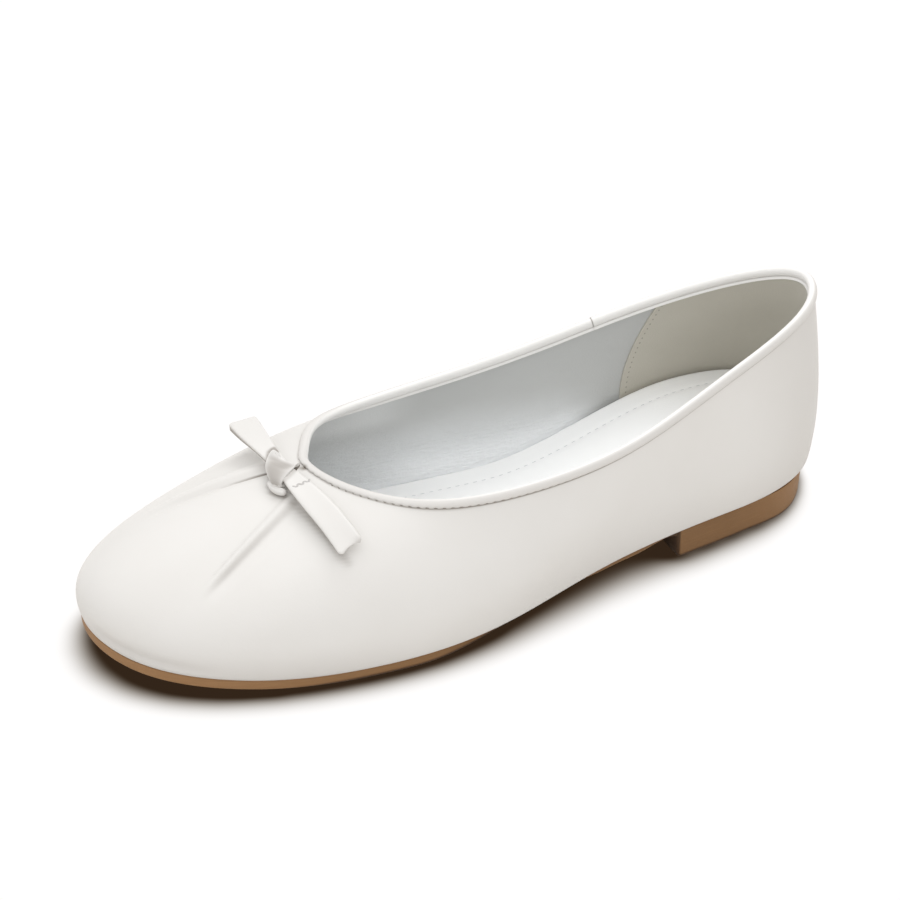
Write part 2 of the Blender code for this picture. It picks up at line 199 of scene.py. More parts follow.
class Last:  # a closed spline from the toe tip, back on the outer side and forward on the inner
    def __init__(self, table):
        outer = [self.row(s, s[1], s[4]) for s in table]
        inner = [self.row(s, -s[2], -s[5]) for s in table[-2:0:-1]]
        self.values = np.array(outer + inner)
        self.knots = walkedAlong(np.array(outer + inner + outer[:1])[:, :2])
        self.heel = self.knots[len(table) - 1]
        self.end = self.knots[-1]

    def row(self, s, side, collarSide):
        collarZ = shoe["instepHeight"] + (shoe["backHeight"] - shoe["instepHeight"]) * s[6]
        return (s[0] * shoe["length"], side * shoe["ballWidth"], s[3] * shoe["length"],
                collarSide * shoe["ballWidth"], collarZ, *s[7:])

    def rows(self, at):
        return closedSpline(self.knots, self.values, at)

    def spread(self, count, crowd):  # positions all round, closer together at the toe
        fine = np.linspace(0.0, self.end, sampling["round"])
        walked = walkedAlong(self.rows(fine)[:, :2])
        share = np.linspace(0.0, 1.0, count + 1)
        share = share - crowd * np.sin(2.0 * math.pi * share) / (2.0 * math.pi)
        return np.interp(share * walked[-1], walked, fine)

    def positions(self, stations, outerSide):  # where one side of the feather edge passes each station
        tip = 0.0 if outerSide else self.end
        fine = np.linspace(tip, self.heel, sampling["side"])
        return np.interp(-np.asarray(stations), -self.rows(fine)[:, 0], fine)

    def outward(self, at):
        step = sampling["edgeStep"]
        along = self.rows(at + step)[:, :2] - self.rows(at - step)[:, :2]
        return unit(np.stack([along[:, 1], -along[:, 0]], axis=1))

    def edge(self, at, inset):
        return self.rows(at)[:, :2] - self.outward(at) * np.reshape(inset, (-1, 1))

    def wall(self, at, shares):  # outer face, shares run from the roll (0) to the collar (1)
        q = self.rows(at)
        normal = np.column_stack([self.outward(at), np.zeros(len(at))])
        up = np.array([0.0, 0.0, 1.0])
        foot = np.column_stack([q[:, 0], q[:, 1], featherHeight(q[:, 0])])
        collar = q[:, 2:5]
        belly, rise, reach, drop = (q[:, i, None] for i in range(5, 9))
        start = foot + up * shoe["edgeRoll"]
        lower = foot + normal * belly + up * rise
        upper = collar + normal * reach - up * drop
        t = np.asarray(shares).reshape(-1, 1, 1)
        s = 1.0 - t
        return s ** 3 * start + 3.0 * s * s * t * lower + 3.0 * s * t * t * upper + t ** 3 * collar

    def wallAhead(self, at, share):  # the way along the wall at one height
        step = sampling["wallStep"]
        return self.wall(at + step, (share,))[0] - self.wall(at - step, (share,))[0]

    def collarFrame(self, at):  # edge point, out and up at the collar
        low, edge = self.wall(at, (sampling["slopeShare"], 1.0))
        step = sampling["collarStep"]
        along = unit(self.rows(at + step)[:, 2:5] - self.rows(at - step)[:, 2:5])
        out = unit(np.cross(along, unit(edge - low)))
        return edge, out, unit(np.cross(out, along))

    def below(self, at, depth):  # point, outward normal and way along, at a depth under the collar
        wall = self.wall(at, np.linspace(*sampling["topWall"]))
        left = depthBelow(wall)
        place = np.empty((len(at), 3))
        slope = np.empty((len(at), 3))
        for i in range(len(at)):
            k = int(np.argmin(np.abs(left[:, i] - depth)))
            place[i] = wall[k, i]
            slope[i] = wall[k, i] - wall[k - 2, i]
        ahead = self.wallAhead(at, sampling["alongShare"])
        return place, unit(np.cross(ahead, slope)), unit(ahead)


last = Last(lastTable)

# Modelling helpers
modelling = {
    "merge": 0.000004,  # metres between points that are one
    "smoothAngle": 42.0,
    "stitchSides": 8,
    "stitchRings": 6,
    "stitchBlunt": 0.7,
}


def toWorld(points):
    return (np.asarray(points) - np.array(shoe["origin"])) * 0.001


def deselectAll():
    if bpy.context.mode != "OBJECT":
        bpy.ops.object.mode_set(mode="OBJECT")
    bpy.ops.object.select_all(action="DESELECT")


def editAll(operator, **settings):  # one operator on the whole mesh in edit mode
    bpy.ops.object.mode_set(mode="EDIT")
    bpy.ops.mesh.select_all(action="SELECT")
    operator(**settings)
    bpy.ops.object.mode_set(mode="OBJECT")


def laidGrid(name, spots):  # a grid whose points are laid on rows of places in metres
    rows, columns = spots.shape[:2]
    deselectAll()
    bpy.ops.mesh.primitive_grid_add(x_subdivisions=columns - 1, y_subdivisions=rows - 1, size=2.0)
    piece = bpy.context.object
    piece.name = name
    piece.data.name = name
    piece.data.vertices.foreach_set("co", spots.reshape(-1))
    piece.data.update()
    return piece


def mark(piece, name, values):  # a number at each point, for the materials
    marks = piece.data.attributes.new(name, "FLOAT", "POINT")
    marks.data.foreach_set("value", values.astype(np.float32).reshape(-1))


def gridPiece(name, points, closed=False, shade=None):  # a grid that is merged at its seams
    piece = laidGrid(name, toWorld(points))
    if shade is not None:  # painted shade: how far the leather is darkened, 0 to 1
        mark(piece, "shade", np.clip(shade, 0.0, 1.0))
    editAll(bpy.ops.mesh.remove_doubles, threshold=modelling["merge"])
    if closed:
        editAll(bpy.ops.mesh.normals_make_consistent, inside=False)
    return piece


def thicken(piece, thickness):  # a wall that grows inward from the faces
    bpy.context.view_layer.objects.active = piece
    wall = piece.modifiers.new("wall", "SOLIDIFY")
    wall.thickness = thickness * 0.001
    wall.offset = -1.0
    wall.use_even_offset = True
    wall.use_quality_normals = True
    bpy.ops.object.modifier_apply(modifier=wall.name)


def around(points):  # repeats the first column, so that the grid closes
    return np.concatenate([points, points[:, :1]], axis=1)


def loft(lines):  # lines of points round a section, as a closed grid
    return around(np.stack(lines, axis=1))


def roundTurns(count):
    return np.linspace(0.0, 2.0 * math.pi, count + 1)[:-1]


def roundedEnd(fromEnd, radius):  # share of the full section near a rounded end
    share = np.clip(fromEnd / radius, 0.0, 1.0)
    return np.sqrt(np.clip(1.0 - (1.0 - share) ** 2, 0.0, 1.0))


def cornerInset(into, radius):  # how far a rounded corner draws the edge in
    return radius - np.sqrt(np.maximum(radius ** 2 - into ** 2, 0.0))


def normalsOf(points):  # outward normals of a closed grid of points
    body = points[:, :-1]
    along = np.roll(body, -1, axis=1) - np.roll(body, 1, axis=1)
    return around(unit(np.cross(along, np.gradient(body, axis=0))))


def finished(piece, material, node=None, angle=modelling["smoothAngle"]):
    deselectAll()
    piece.select_set(True)
    bpy.context.view_layer.objects.active = piece
    bpy.ops.object.shade_smooth_by_angle(angle=math.radians(angle))
    piece.data.materials.clear()
    piece.data.materials.append(material)
    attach(piece, "root")
    if node:
        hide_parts(node)
    print("  ", piece.name, len(piece.data.polygons), "faces")


def roundStitch():  # one rounded stitch, modelled once
    deselectAll()
    bpy.ops.mesh.primitive_uv_sphere_add(
        segments=modelling["stitchSides"], ring_count=modelling["stitchRings"], radius=1.0)
    piece = bpy.context.object
    editAll(bpy.ops.transform.rotate, value=math.pi / 2.0, orient_axis="Y", center_override=(0.0, 0.0, 0.0))
    corners = np.array([v.co[:] for v in piece.data.vertices])
    corners[:, 0] = squarish(corners[:, 0], modelling["stitchBlunt"])
    faces = [tuple(p.vertices) for p in piece.data.polygons]
    bpy.data.objects.remove(piece, do_unlink=True)
    return corners, faces


def sown(name, places, along, normal, size):  # copies of the stitch in rows, as one mesh
    corners, faces = stitch
    side = unit(np.cross(normal, along))
    axes = np.stack([along * size[0], side * size[1], normal * size[2]], axis=1)
    spots = places[:, None] + np.einsum("kc,nca->nka", corners, axes)
    made = [tuple(i + n * len(corners) for i in face) for n in range(len(places)) for face in faces]
    mesh = bpy.data.meshes.new(name)
    mesh.from_pydata(toWorld(spots.reshape(-1, 3)), [], made)
    piece = bpy.data.objects.new(name, mesh)
    bpy.context.scene.collection.objects.link(piece)
    deselectAll()
    bpy.context.view_layer.objects.active = piece
    piece.select_set(True)
    editAll(bpy.ops.mesh.normals_make_consistent, inside=False)
    return piece


stitch = roundStitch()


# Materials

class Tone:  # a number on its way through a tree of nodes
    def __init__(self, nodes, socket):
        self.nodes = nodes
        self.socket = socket

    def maths(self, operation, first, second):
        return self.nodes.node("ShaderNodeMath", {"operation": operation}, {0: first, 1: second})

    def __add__(self, other):
        return self.maths("ADD", self, other)

    def __radd__(self, other):
        return self.maths("ADD", other, self)

    def __sub__(self, other):
        return self.maths("SUBTRACT", self, other)

    def __rsub__(self, other):
        return self.maths("SUBTRACT", other, self)

    def __mul__(self, other):
        return self.maths("MULTIPLY", self, other)

    def __rmul__(self, other):
        return self.maths("MULTIPLY", other, self)

    def __pow__(self, other):
        return self.maths("POWER", self, other)


class Nodes:
    def __init__(self, tree):
        self.tree = tree

    def feed(self, socket, value):
        if isinstance(value, Tone):
            self.tree.links.new(value.socket, socket)
        else:
            socket.default_value = value

    def node(self, kind, settings, sockets, output=0):
        made = self.tree.nodes.new(kind)
        for key, value in settings.items():
            setattr(made, key, value)
        for key, value in sockets.items():
            self.feed(made.inputs[key], value)
        return Tone(self, made.outputs[output])

    def place(self, kind="Object"):
        return self.node("ShaderNodeTexCoord", {}, {}, kind)

    def axis(self, place, letter):
        return self.node("ShaderNodeSeparateXYZ", {}, {0: place}, letter)


class Paint(Nodes):
    def __init__(self, name, **constants):
        self.material = bpy.data.materials.new(name)
        self.material.use_nodes = True
        super().__init__(self.material.node_tree)
        self.surface = self.tree.nodes["Principled BSDF"]
        for key, value in constants.items():
            self.surface.inputs[key].default_value = value

    def noise(self, place, scale, detail):
        return self.node("ShaderNodeTexNoise", {}, {"Vector": place, "Scale": scale, "Detail": detail}, "Fac")

    def pores(self, place, scale):
        return self.node("ShaderNodeTexVoronoi", {}, {"Vector": place, "Scale": scale}, "Distance")

    def marked(self, name):
        return self.node("ShaderNodeAttribute", {"attribute_name": name}, {}, "Fac")

    def stretched(self, place, scale):
        return self.node("ShaderNodeMapping", {}, {"Vector": place, "Scale": scale})

    def above(self, value, low, high):  # 0 below low, 1 above high, soft between
        settings = {"interpolation_type": "SMOOTHSTEP"}
        return self.node("ShaderNodeMapRange", settings, {"Value": value, "From Min": low, "From Max": high})

    def below(self, value, low, high):
        return 1.0 - self.above(value, low, high)

    def blend(self, share, first, second):
        return self.node("ShaderNodeMix", {"data_type": "RGBA"}, {0: share, 6: first, 7: second}, 2)

    def bump(self, height, distance, strength):
        sockets = {"Height": height, "Distance": distance * 0.001, "Strength": strength}
        self.feed(self.surface.inputs["Normal"], self.node("ShaderNodeBump", {}, sockets))

    def color(self, value):
        self.feed(self.surface.inputs["Base Color"], value)

    def roughness(self, value):
        self.feed(self.surface.inputs["Roughness"], value)


# In all looks a noise is its scale and its detail, and a bump its depth in millimetres and its strength;
# ranges over the shoe are metres in the frame
whiteLeatherLook = {
    "pale": (0.718, 0.700, 0.675, 1.0),
    "deep": (0.706, 0.687, 0.660, 1.0),
    "crease": (0.150, 0.118, 0.088, 1.0),  # painted shade: the colour the leather darkens to, as far as the shade mark says
    "roughness": 0.42,
    "grain": 1500.0,
    "fine": (3300.0, 2.0),
    "cloud": (45.0, 3.0),
    "cloudRange": (0.30, 0.75),
    "bump": (0.04, 0.30),
}

# painted light: a paler copy of the white leather, so the strip's shaded inner face comes out bright
bindingLook = dict(whiteLeatherLook, pale=(0.860, 0.845, 0.822, 1.0), deep=(0.846, 0.830, 0.806, 1.0))


def whiteLeather(name, look):
    constants = {"Coat Weight": 0.10, "Coat Roughness": 0.28, "Specular IOR Level": 0.42}
    paint = Paint(name, **constants)
    place = paint.place()
    pores = paint.pores(place, look["grain"])
    fine = paint.noise(place, *look["fine"])
    cloud = paint.noise(place, *look["cloud"])
    body = paint.blend(paint.above(cloud, *look["cloudRange"]), look["pale"], look["deep"])
    # painted shade from the shade mark
    paint.color(paint.blend(paint.marked("shade"), body, look["crease"]))
    paint.roughness(look["roughness"] + 0.06 * (cloud - 0.5) + 0.05 * fine)
    paint.bump(pores * 0.6 + fine * 0.4, *look["bump"])
    return paint.material


liningLook = {
    "pale": (0.525, 0.532, 0.522, 1.0),
    "deep": (0.500, 0.506, 0.496, 1.0),
    "grain": (1900.0, 3.0),
    "cloud": (60.0, 2.0),
    "wrinkles": (170.0, 46.0, 1.0),  # drawn out along the shoe, over its UV map
    "wrinkleNoise": (1.0, 4.0),
    "roughness": 0.52,
    "bump": (0.70, 0.8),
    "low": (0.775, 0.795, 0.805, 1.0),  # painted light, paler towards the insole
    "lowRange": (0.012, 0.034),
    "foot": (0.960, 0.975, 0.985, 1.0),  # and painted light, near white where it meets the insole
    "footRange": (0.008, 0.020),
    "wedge": 0.0108,  # the insole climbs this much towards the heel
    "wedgeRun": (-0.088, -0.017),
    "edge": (0.0072, 0.0115),  # painted light, palest along the insole
    "footFade": (-0.010, 0.020),  # less of it towards the toe
    "back": (-0.066, -0.047),  # the painted light fades out towards the heel
    "front": (0.680, 0.686, 0.678, 1.0),  # painted light, paler below the binding at the throat
    "frontFrom": (-0.005, 0.016),
    "frontUp": (0.0265, 0.0335),
}


def liningLeather():
    look = liningLook
    paint = Paint("liningLeather")
    place = paint.place()
    grain = paint.noise(place, *look["grain"])
    drawn = paint.noise(paint.stretched(paint.place("UV"), look["wrinkles"]), *look["wrinkleNoise"])
    cloud = paint.noise(place, *look["cloud"])
    height = paint.axis(place, "Z")
    forward = paint.axis(place, "X")
    body = paint.blend(cloud, look["pale"], look["deep"])
    # painted light: paler at the throat, low down and along the insole
    throat = paint.above(forward, *look["frontFrom"]) * paint.above(height, *look["frontUp"])
    body = paint.blend(throat, body, look["front"])
    paintedLightReach = paint.above(forward, *look["back"])
    ahead = paint.above(forward, *look["footFade"])
    low = paint.below(height, *look["lowRange"]) * paintedLightReach * (1.0 - 0.30 * ahead)
    level = height - look["wedge"] * paint.below(forward, *look["wedgeRun"])
    foot = paint.below(level, *look["footRange"]) * (1.0 - 0.85 * ahead)
    edge = paint.below(level, *look["edge"])
    foot = (foot + edge - foot * edge) * paintedLightReach
    paint.color(paint.blend(foot, paint.blend(low, body, look["low"]), look["foot"]))
    paint.roughness(look["roughness"] + 0.12 * grain)
    paint.bump(grain * 0.12 + drawn * (0.15 + low * 0.85), *look["bump"])
    return paint.material


gripLook = {
    "pale": (0.555, 0.530, 0.462, 1.0),
    "deep": (0.500, 0.476, 0.412, 1.0),
    "nap": (2600.0, 4.0),
    "patches": (60.0, 60.0, 110.0),
    "patchNoise": (1.0, 3.0),
    "roughness": 0.86,
    "bump": (0.12, 0.6),
}


def gripSuede():
    look = gripLook
    paint = Paint("gripSuede", **{"Sheen Weight": 0.25, "Sheen Roughness": 0.5, "Specular IOR Level": 0.2})
    place = paint.place()
    nap = paint.noise(place, *look["nap"])
    patch = paint.noise(paint.stretched(place, look["patches"]), *look["patchNoise"])
    paint.color(paint.blend(patch * 0.7 + nap * 0.3, look["pale"], look["deep"]))
    paint.roughness(look["roughness"] + 0.1 * nap)
    paint.bump(nap, *look["bump"])
    return paint.material


insoleLook = {
    "pale": (0.965, 0.968, 0.962, 1.0),
    "deep": (0.945, 0.950, 0.946, 1.0),
    "grain": 1300.0,
    "cloud": (70.0, 3.0),
    "roughness": 0.5,
    "bump": (0.06, 0.4),
}


def insoleLeather():
    look = insoleLook
    paint = Paint("insoleLeather", **{"Specular IOR Level": 0.35})
    place = paint.place()
    cloud = paint.noise(place, *look["cloud"])
    paint.color(paint.blend(cloud, look["pale"], look["deep"]))
    paint.roughness(look["roughness"] + 0.15 * cloud)
    paint.bump(paint.pores(place, look["grain"]), *look["bump"])
    return paint.material


rubberLook = {
    "pale": (0.232, 0.124, 0.052, 1.0),
    "deep": (0.194, 0.101, 0.041, 1.0),
    "fleck": (1400.0, 3.0),
    "cloud": (90.0, 2.0),
    "streak": (0.252, 0.137, 0.059, 1.0),
    "streaks": (120.0, 120.0, 2600.0),  # drawn out along the edge
    "streakNoise": (1.0, 2.0),
    "streakRange": (0.5, 0.75),
    "toe": (0.350, 0.192, 0.085, 1.0),  # the strip is paler towards the toe
    "toeRange": (-0.02, 0.10),
    "back": (0.285, 0.156, 0.070, 1.0),  # and at the back of the heel
    "backRange": (-0.115, -0.075),
    "shaded": (0.045, 0.022, 0.010, 1.0),  # painted shade on the heel's breast and along the ground
    "breastFrom": (-0.0604, -0.0597),
    "breastTo": (-0.0570, -0.0545),
    "ground": (0.0004, 0.0015),
    "roughness": 0.50,
    "bump": (0.06, 0.4),
}


def soleRubber():
    look = rubberLook
    paint = Paint("soleRubber", **{"Specular IOR Level": 0.3})
    place = paint.place()
    fleck = paint.noise(place, *look["fleck"])
    cloud = paint.noise(place, *look["cloud"])
    streak = paint.noise(paint.stretched(place, look["streaks"]), *look["streakNoise"])
    forward = paint.axis(place, "X")
    height = paint.axis(place, "Z")
    body = paint.blend(cloud * 0.7 + fleck * 0.3, look["pale"], look["deep"])
    body = paint.blend(paint.above(streak, *look["streakRange"]) * 0.7, body, look["streak"])
    towardsToe = paint.above(forward, *look["toeRange"]) * (0.45 + streak * 0.5)
    body = paint.blend(towardsToe, body, look["toe"])
    body = paint.blend(paint.below(forward, *look["backRange"]), body, look["back"])
    # painted shade on the breast and close to the floor
    face = paint.above(forward, *look["breastFrom"]) * paint.below(forward, *look["breastTo"])
    ground = paint.below(height, *look["ground"])
    paint.color(paint.blend(0.85 * face + 0.90 * ground * (1.0 - face), body, look["shaded"]))
    paint.roughness(look["roughness"] + 0.14 * fleck)
    paint.bump(fleck * 0.5 + streak * 0.6, *look["bump"])
    return paint.material


threadLook = {
    "upperThread": (0.80, 0.78, 0.74, 1.0),
    "insoleThread": (0.68, 0.70, 0.71, 1.0),
    # the holes are dark marks: painted shade inside the needle and grip holes
    "needleHole": (0.36, 0.33, 0.29, 1.0),
    "gripHole": (0.34, 0.32, 0.27, 1.0),
    "tackThread": (0.56, 0.54, 0.52, 1.0),
}

twistLook = {"strand": (2600.0, 2.0), "dark": 0.8, "roughness": 0.62, "bump": (0.06, 0.6)}


def sewingThread(name, color):
    look = twistLook
    paint = Paint(name, **{"Specular IOR Level": 0.3})
    strand = paint.noise(paint.place(), *look["strand"])
    dark = (*(part * look["dark"] for part in color[:3]), 1.0)
    paint.color(paint.blend(strand, color, dark))
    paint.roughness(look["roughness"] + 0.15 * strand)
    paint.bump(strand, *look["bump"])
    return paint.material


leather = whiteLeather("whiteLeather", whiteLeatherLook)
bindingLeather = whiteLeather("bindingLeather", bindingLook)
lining = liningLeather()
suede = gripSuede()
footbed = insoleLeather()
rubber = soleRubber()
threads = {name: sewingThread(name, color) for name, color in threadLook.items()}
print("materials made")

# Camera at the photograph's angle
view = {
    "target": (124.52, 0.0, 42.145),
    "turn": 26.2231,  # degrees from the outer side towards the toe
    "elevation": 34.1457,
    "distance": 1269.55,
    "lens": 170.484,  # millimetres on the sensor
    "sensor": 36.0,
    "clip": (0.05, 60.0),  # metres
}


def aimed(name, data, place, way):  # a camera or lamp that looks the given way
    holder = bpy.data.objects.new(name, data)
    bpy.context.scene.collection.objects.link(holder)
    holder.location = place
    holder.rotation_mode = "QUATERNION"
    holder.rotation_quaternion = way.to_track_quat("-Z", "Y")
    return holder


def addCamera():
    turn = math.radians(view["turn"])
    tilt = math.radians(view["elevation"])
    back = Vector((math.sin(turn) * math.cos(tilt), math.cos(turn) * math.cos(tilt), math.sin(tilt)))
    lens = bpy.data.cameras.new("camera")
    lens.sensor_width = view["sensor"]
    lens.lens = view["lens"]
    lens.clip_start, lens.clip_end = view["clip"]
    place = Vector(toWorld(view["target"])) + back * view["distance"] * 0.001
    bpy.context.scene.camera = aimed("camera", lens, place, -back)


addCamera()

# Upper: one skin of leather, with the two pleats that run from the knot to the toe
upper = {
    "around": 500,
    "rows": 64,
    "topRows": 16,  # finer rows beside the binding
    "topShare": 0.955,
    "underRings": 6,  # rings of the margin and the roll
    "crowd": 0.68,
    "leather": 0.9,
    "hang": 0.7,  # the lasted edge hangs this much over the sole
    "hangFrom": (0.1, 0.6),  # heights over the feather edge, and the runs from there
    "hangTo": (1.8, 6.0),
    # painted shade towards the heel, over this run
    "heelShade": 0.170,
    "heelRun": 45.0,
    "edgeShade": 0.125,  # painted shade low over the sole, in front of the waist
    "edgeRun": 13.0,
    "edgeFrom": (150.0, 40.0),
    "seam": 0.72,  # painted shade: a dark line beside the binding, under its lip
    "seamDepth": (1.32, 0.50),  # dark down to here, then clear over the width
    "seamFront": (144.0, 20.0),  # it fades towards the bow
    "seamFade": 0.70,
}

# Painted shade on the vamp round the bow: a line on the leather, how dark, how wide
bowShadows = (
    (((180.6, -5.1, 43.3), (181.3, -2.6, 42.9), (180.8, -0.3, 42.7), (179.2, 1.2, 42.6)), 0.50, 0.9),
    (((177.8, 4.1, 42.3), (177.0, 9.0, 41.2), (176.0, 12.8, 40.6), (174.7, 19.5, 39.1), (173.1, 25.9, 36.6),
      (171.9, 29.8, 35.0)), 0.34, 1.2),
    (((170.2, -7.4, 45.6), (169.5, -6.6, 45.4)), 0.95, 0.9),  # painted shade in the gap beside the knot
)

# Each pleat is a fold whose crest runs over three points of the plan and falls to the outer side
# dark, foot and crease are painted shade on the flank, at the foot and in the crease
pleats = (
    {"x": (178.7, 194.0, 213.0), "y": (3.2, 10.2, 17.4),
     "rise": 0.70, "gentle": 1.9, "flank": 3.0, "round": 0.0, "trough": 0.65, "back": 5.0,
     "line": 0.14, "narrow": 0.42, "grow": 0.25, "end": 0.30,
     "dark": 0.20, "foot": 0.12, "crease": 0.0, "creaseRun": 0.5},
    {"x": (179.0, 197.0, 218.0), "y": (-14.8, -17.9, -20.3),
     "rise": 1.05, "gentle": 5.0, "flank": 3.8, "round": 0.85, "trough": 0.35, "back": 2.5,
     "line": 0.0, "narrow": 0.35, "grow": 0.0, "end": 0.45,
     "dark": 0.11, "foot": 0.0, "crease": 1.0, "creaseRun": 0.42},
)

# What both pleats share: the run is 0 at the knot and 1 at the end, widths are millimetres
pleatForm = {
    "start": (-0.16, 0.16),
    "end": 1.03,
    "grown": 0.6,
    "lineWidth": 0.4,
    "darkMiddle": 0.62,  # shares of the flank
    "darkWidth": 0.36,
    "footWidth": 0.35,
    "creaseOff": 0.05,
    "creaseWidth": 0.24,
}

# A shallow crease that comes down round the outer side of the toe, with painted shade in it
toeCrease = {
    "side": (-8.0, 2.0, 10.0, 17.0, 23.0, 27.5, 33.0),
    "above": (4.4, 3.6, 3.1, 2.9, 2.7, 2.2, 1.4),  # height over the feather edge
    "depth": 0.60,
    "width": 2.2,
    # painted shade in the crease
    "dark": 0.080,
    "from": (-6.0, 12.0),  # it comes in and goes out over these runs
    "to": (34.0, 12.0),
    "front": (206.0, 10.0),
    "foot": (1.2, 2.4),
}


def pleatFrame(points, pleat):  # distance from the crest, share of the run, strength
    x = points[..., 0]
    curve = np.polyfit(pleat["x"], pleat["y"], 2)
    slope = np.polyval(np.polyder(curve), x)
    run = np.clip((x - pleat["x"][0]) / (pleat["x"][2] - pleat["x"][0]), -0.5, 1.5)
    spread = 1.0 - pleat["narrow"] * np.clip(run, 0.0, 1.0)
    off = (points[..., 1] - np.polyval(curve, x)) / np.sqrt(1.0 + slope * slope) / spread
    strength = rising(run, *pleatForm["start"]) * falling(run, pleatForm["end"], pleat["end"])
    strength = strength * (1.0 - pleat["grow"] * (1.0 - smoothStep(run / pleatForm["grown"])))
    return off, run, strength


def pleatRelief(points, pleat):
    off, _, strength = pleatFrame(points, pleat)
    t = np.clip(off / pleat["flank"], 0.0, 1.0)
    curl = (1.0 - pleat["round"]) * smoothStep(t) + pleat["round"] * (1.0 - np.sqrt(1.0 - t * t))
    rise = pleat["rise"] * smoothStep(1.0 + off / pleat["gentle"])
    fall = pleat["rise"] - (pleat["rise"] + pleat["trough"]) * curl
    back = -pleat["trough"] * (1.0 - rising(off, pleat["flank"], pleat["back"]))
    fold = np.where(off < 0.0, rise, np.where(off < pleat["flank"], fall, back))
    return strength * (fold - pleat["line"] * hill(off + pleat["gentle"], pleatForm["lineWidth"]))


# painted shade on the pleat
def pleatShade(points, pleat):
    off, run, strength = pleatFrame(points, pleat)
    middle = pleat["flank"] * pleatForm["darkMiddle"]
    flank = pleat["dark"] * hill(off - middle, pleat["flank"] * pleatForm["darkWidth"])
    flank = flank + pleat["foot"] * hill(off + pleat["gentle"], pleatForm["footWidth"])
    deep = pleat["crease"] * (1.0 - smoothStep(run / pleat["creaseRun"]))
    crease = hill(off - pleat["flank"] - pleatForm["creaseOff"], pleatForm["creaseWidth"])
    return strength * (flank + deep * crease)


def toeCreaseShare(points):
    side = points[..., 1]
    above = aboveFeather(points)
    off = above - np.interp(side, toeCrease["side"], toeCrease["above"])
    ends = rising(side, *toeCrease["from"]) * falling(side, *toeCrease["to"])
    ends = ends * rising(points[..., 0], *toeCrease["front"])
    return ends * hill(off, toeCrease["width"]) * rising(above, *toeCrease["foot"])


def upperRings(at):  # the margin turned under the sole, and the roll
    roll = shoe["edgeRoll"]
    margin = shoe["lastingMargin"]
    spots = [(roll + margin, 0.0), (roll + margin / 2.0, 0.0)]
    for turn in np.linspace(0.0, math.pi / 2.0, upper["underRings"] - 1)[:-1]:
        spots.append((roll * (1.0 - math.sin(turn)), roll * (1.0 - math.cos(turn))))
    rings = []
    for inset, lift in spots:
        plan = last.edge(at, inset)
        rings.append(np.column_stack([plan, featherHeight(plan[:, 0]) + lift]))
    return np.stack(rings)


def upperSurface(count, rows, crowd, topRows=1):
    at = last.spread(count, crowd)
    lower = np.linspace(0.0, upper["topShare"], rows)
    shares = np.concatenate([lower, np.linspace(upper["topShare"], 1.0, topRows + 1)[1:]])
    points = np.concatenate([upperRings(at), last.wall(at, shares)])
    points[:, -1] = points[:, 0]
    above = aboveFeather(points)
    hang = rising(above, *upper["hangFrom"]) * (1.0 - rising(above, *upper["hangTo"]))
    points[..., 2] -= upper["hang"] * hang
    return points


def upperRelief(points):  # pleats and crease, above or below the plain skin
    relief = sum(pleatRelief(points, pleat) for pleat in pleats) - toeCrease["depth"] * toeCreaseShare(points)
    relief[:upper["underRings"]] = 0.0
    return relief


# painted shade on the upper: under the binding, towards the heel, low over the sole, round the bow, on the
# pleats and in the toe crease
def upperShade(points):
    fade = upper["seamFade"] * rising(points[-1, :, 0], *upper["seamFront"])
    seam = 1.0 - rising(depthBelow(points), *upper["seamDepth"])
    shade = upper["seam"] * (1.0 - fade) * seam
    shade = shade + upper["heelShade"] * falling(points[..., 0], upper["heelRun"], upper["heelRun"])
    front = rising(points[..., 0], *upper["edgeFrom"])
    shade = shade + upper["edgeShade"] * front * (1.0 - smoothStep(aboveFeather(points) / upper["edgeRun"]))
    shade = shade + sum(dark * hill(offLine(points, line), width) for line, dark, width in bowShadows)
    shade = shade + sum(pleatShade(points, pleat) for pleat in pleats)
    return shade + toeCrease["dark"] * toeCreaseShare(points)


def makeUpper():
    points = upperSurface(upper["around"], upper["rows"], upper["crowd"], upper["topRows"])
    skin = points + normalsOf(points) * upperRelief(points)[..., None]
    piece = gridPiece("upperLeather", skin, False, upperShade(points))
    thicken(piece, upper["leather"])
    finished(piece, leather, "upper")


liningSkin = {
    "around": 400,
    "rows": 60,
    "crowd": 0.3,
    "slack": 0.06,  # between leather and lining
    "hollow": 1.1,  # it follows the hollows of the leather, a little deeper
}


def makeLining():
    points = upperSurface(liningSkin["around"], liningSkin["rows"], liningSkin["crowd"])
    hollow = np.minimum(upperRelief(points), 0.0) * liningSkin["hollow"]
    points = points + normalsOf(points) * (hollow - upper["leather"] - liningSkin["slack"])[..., None]
    piece = gridPiece("lining", points[upper["underRings"]:])
    thicken(piece, shoe["wall"] - upper["leather"] - liningSkin["slack"])
    finished(piece, lining)


print("upper:")
makeUpper()
makeLining()

# Heel grip: a suede patch round the inside of the heel
grip = {
    "height": (16.0, 24.1, 38.2, 52.9, 64.0),
    "front": (50.8, 51.2, 48.4, 42.7, 36.8),  # station of its front edge at those heights
    "thickness": 0.5,
    "clearance": 0.03,
    "shares": (0.12, 0.955, 40),  # of the wall, from low down to the binding
    "columns": 130,
    "search": (150.0, 900),  # its front edge is found within this way from the heel
    "holePitch": 1.9,
    "holeStart": 2.0,
    "holeInset": 2.0,
    "hole": (0.30, 0.20, 0.07),
}


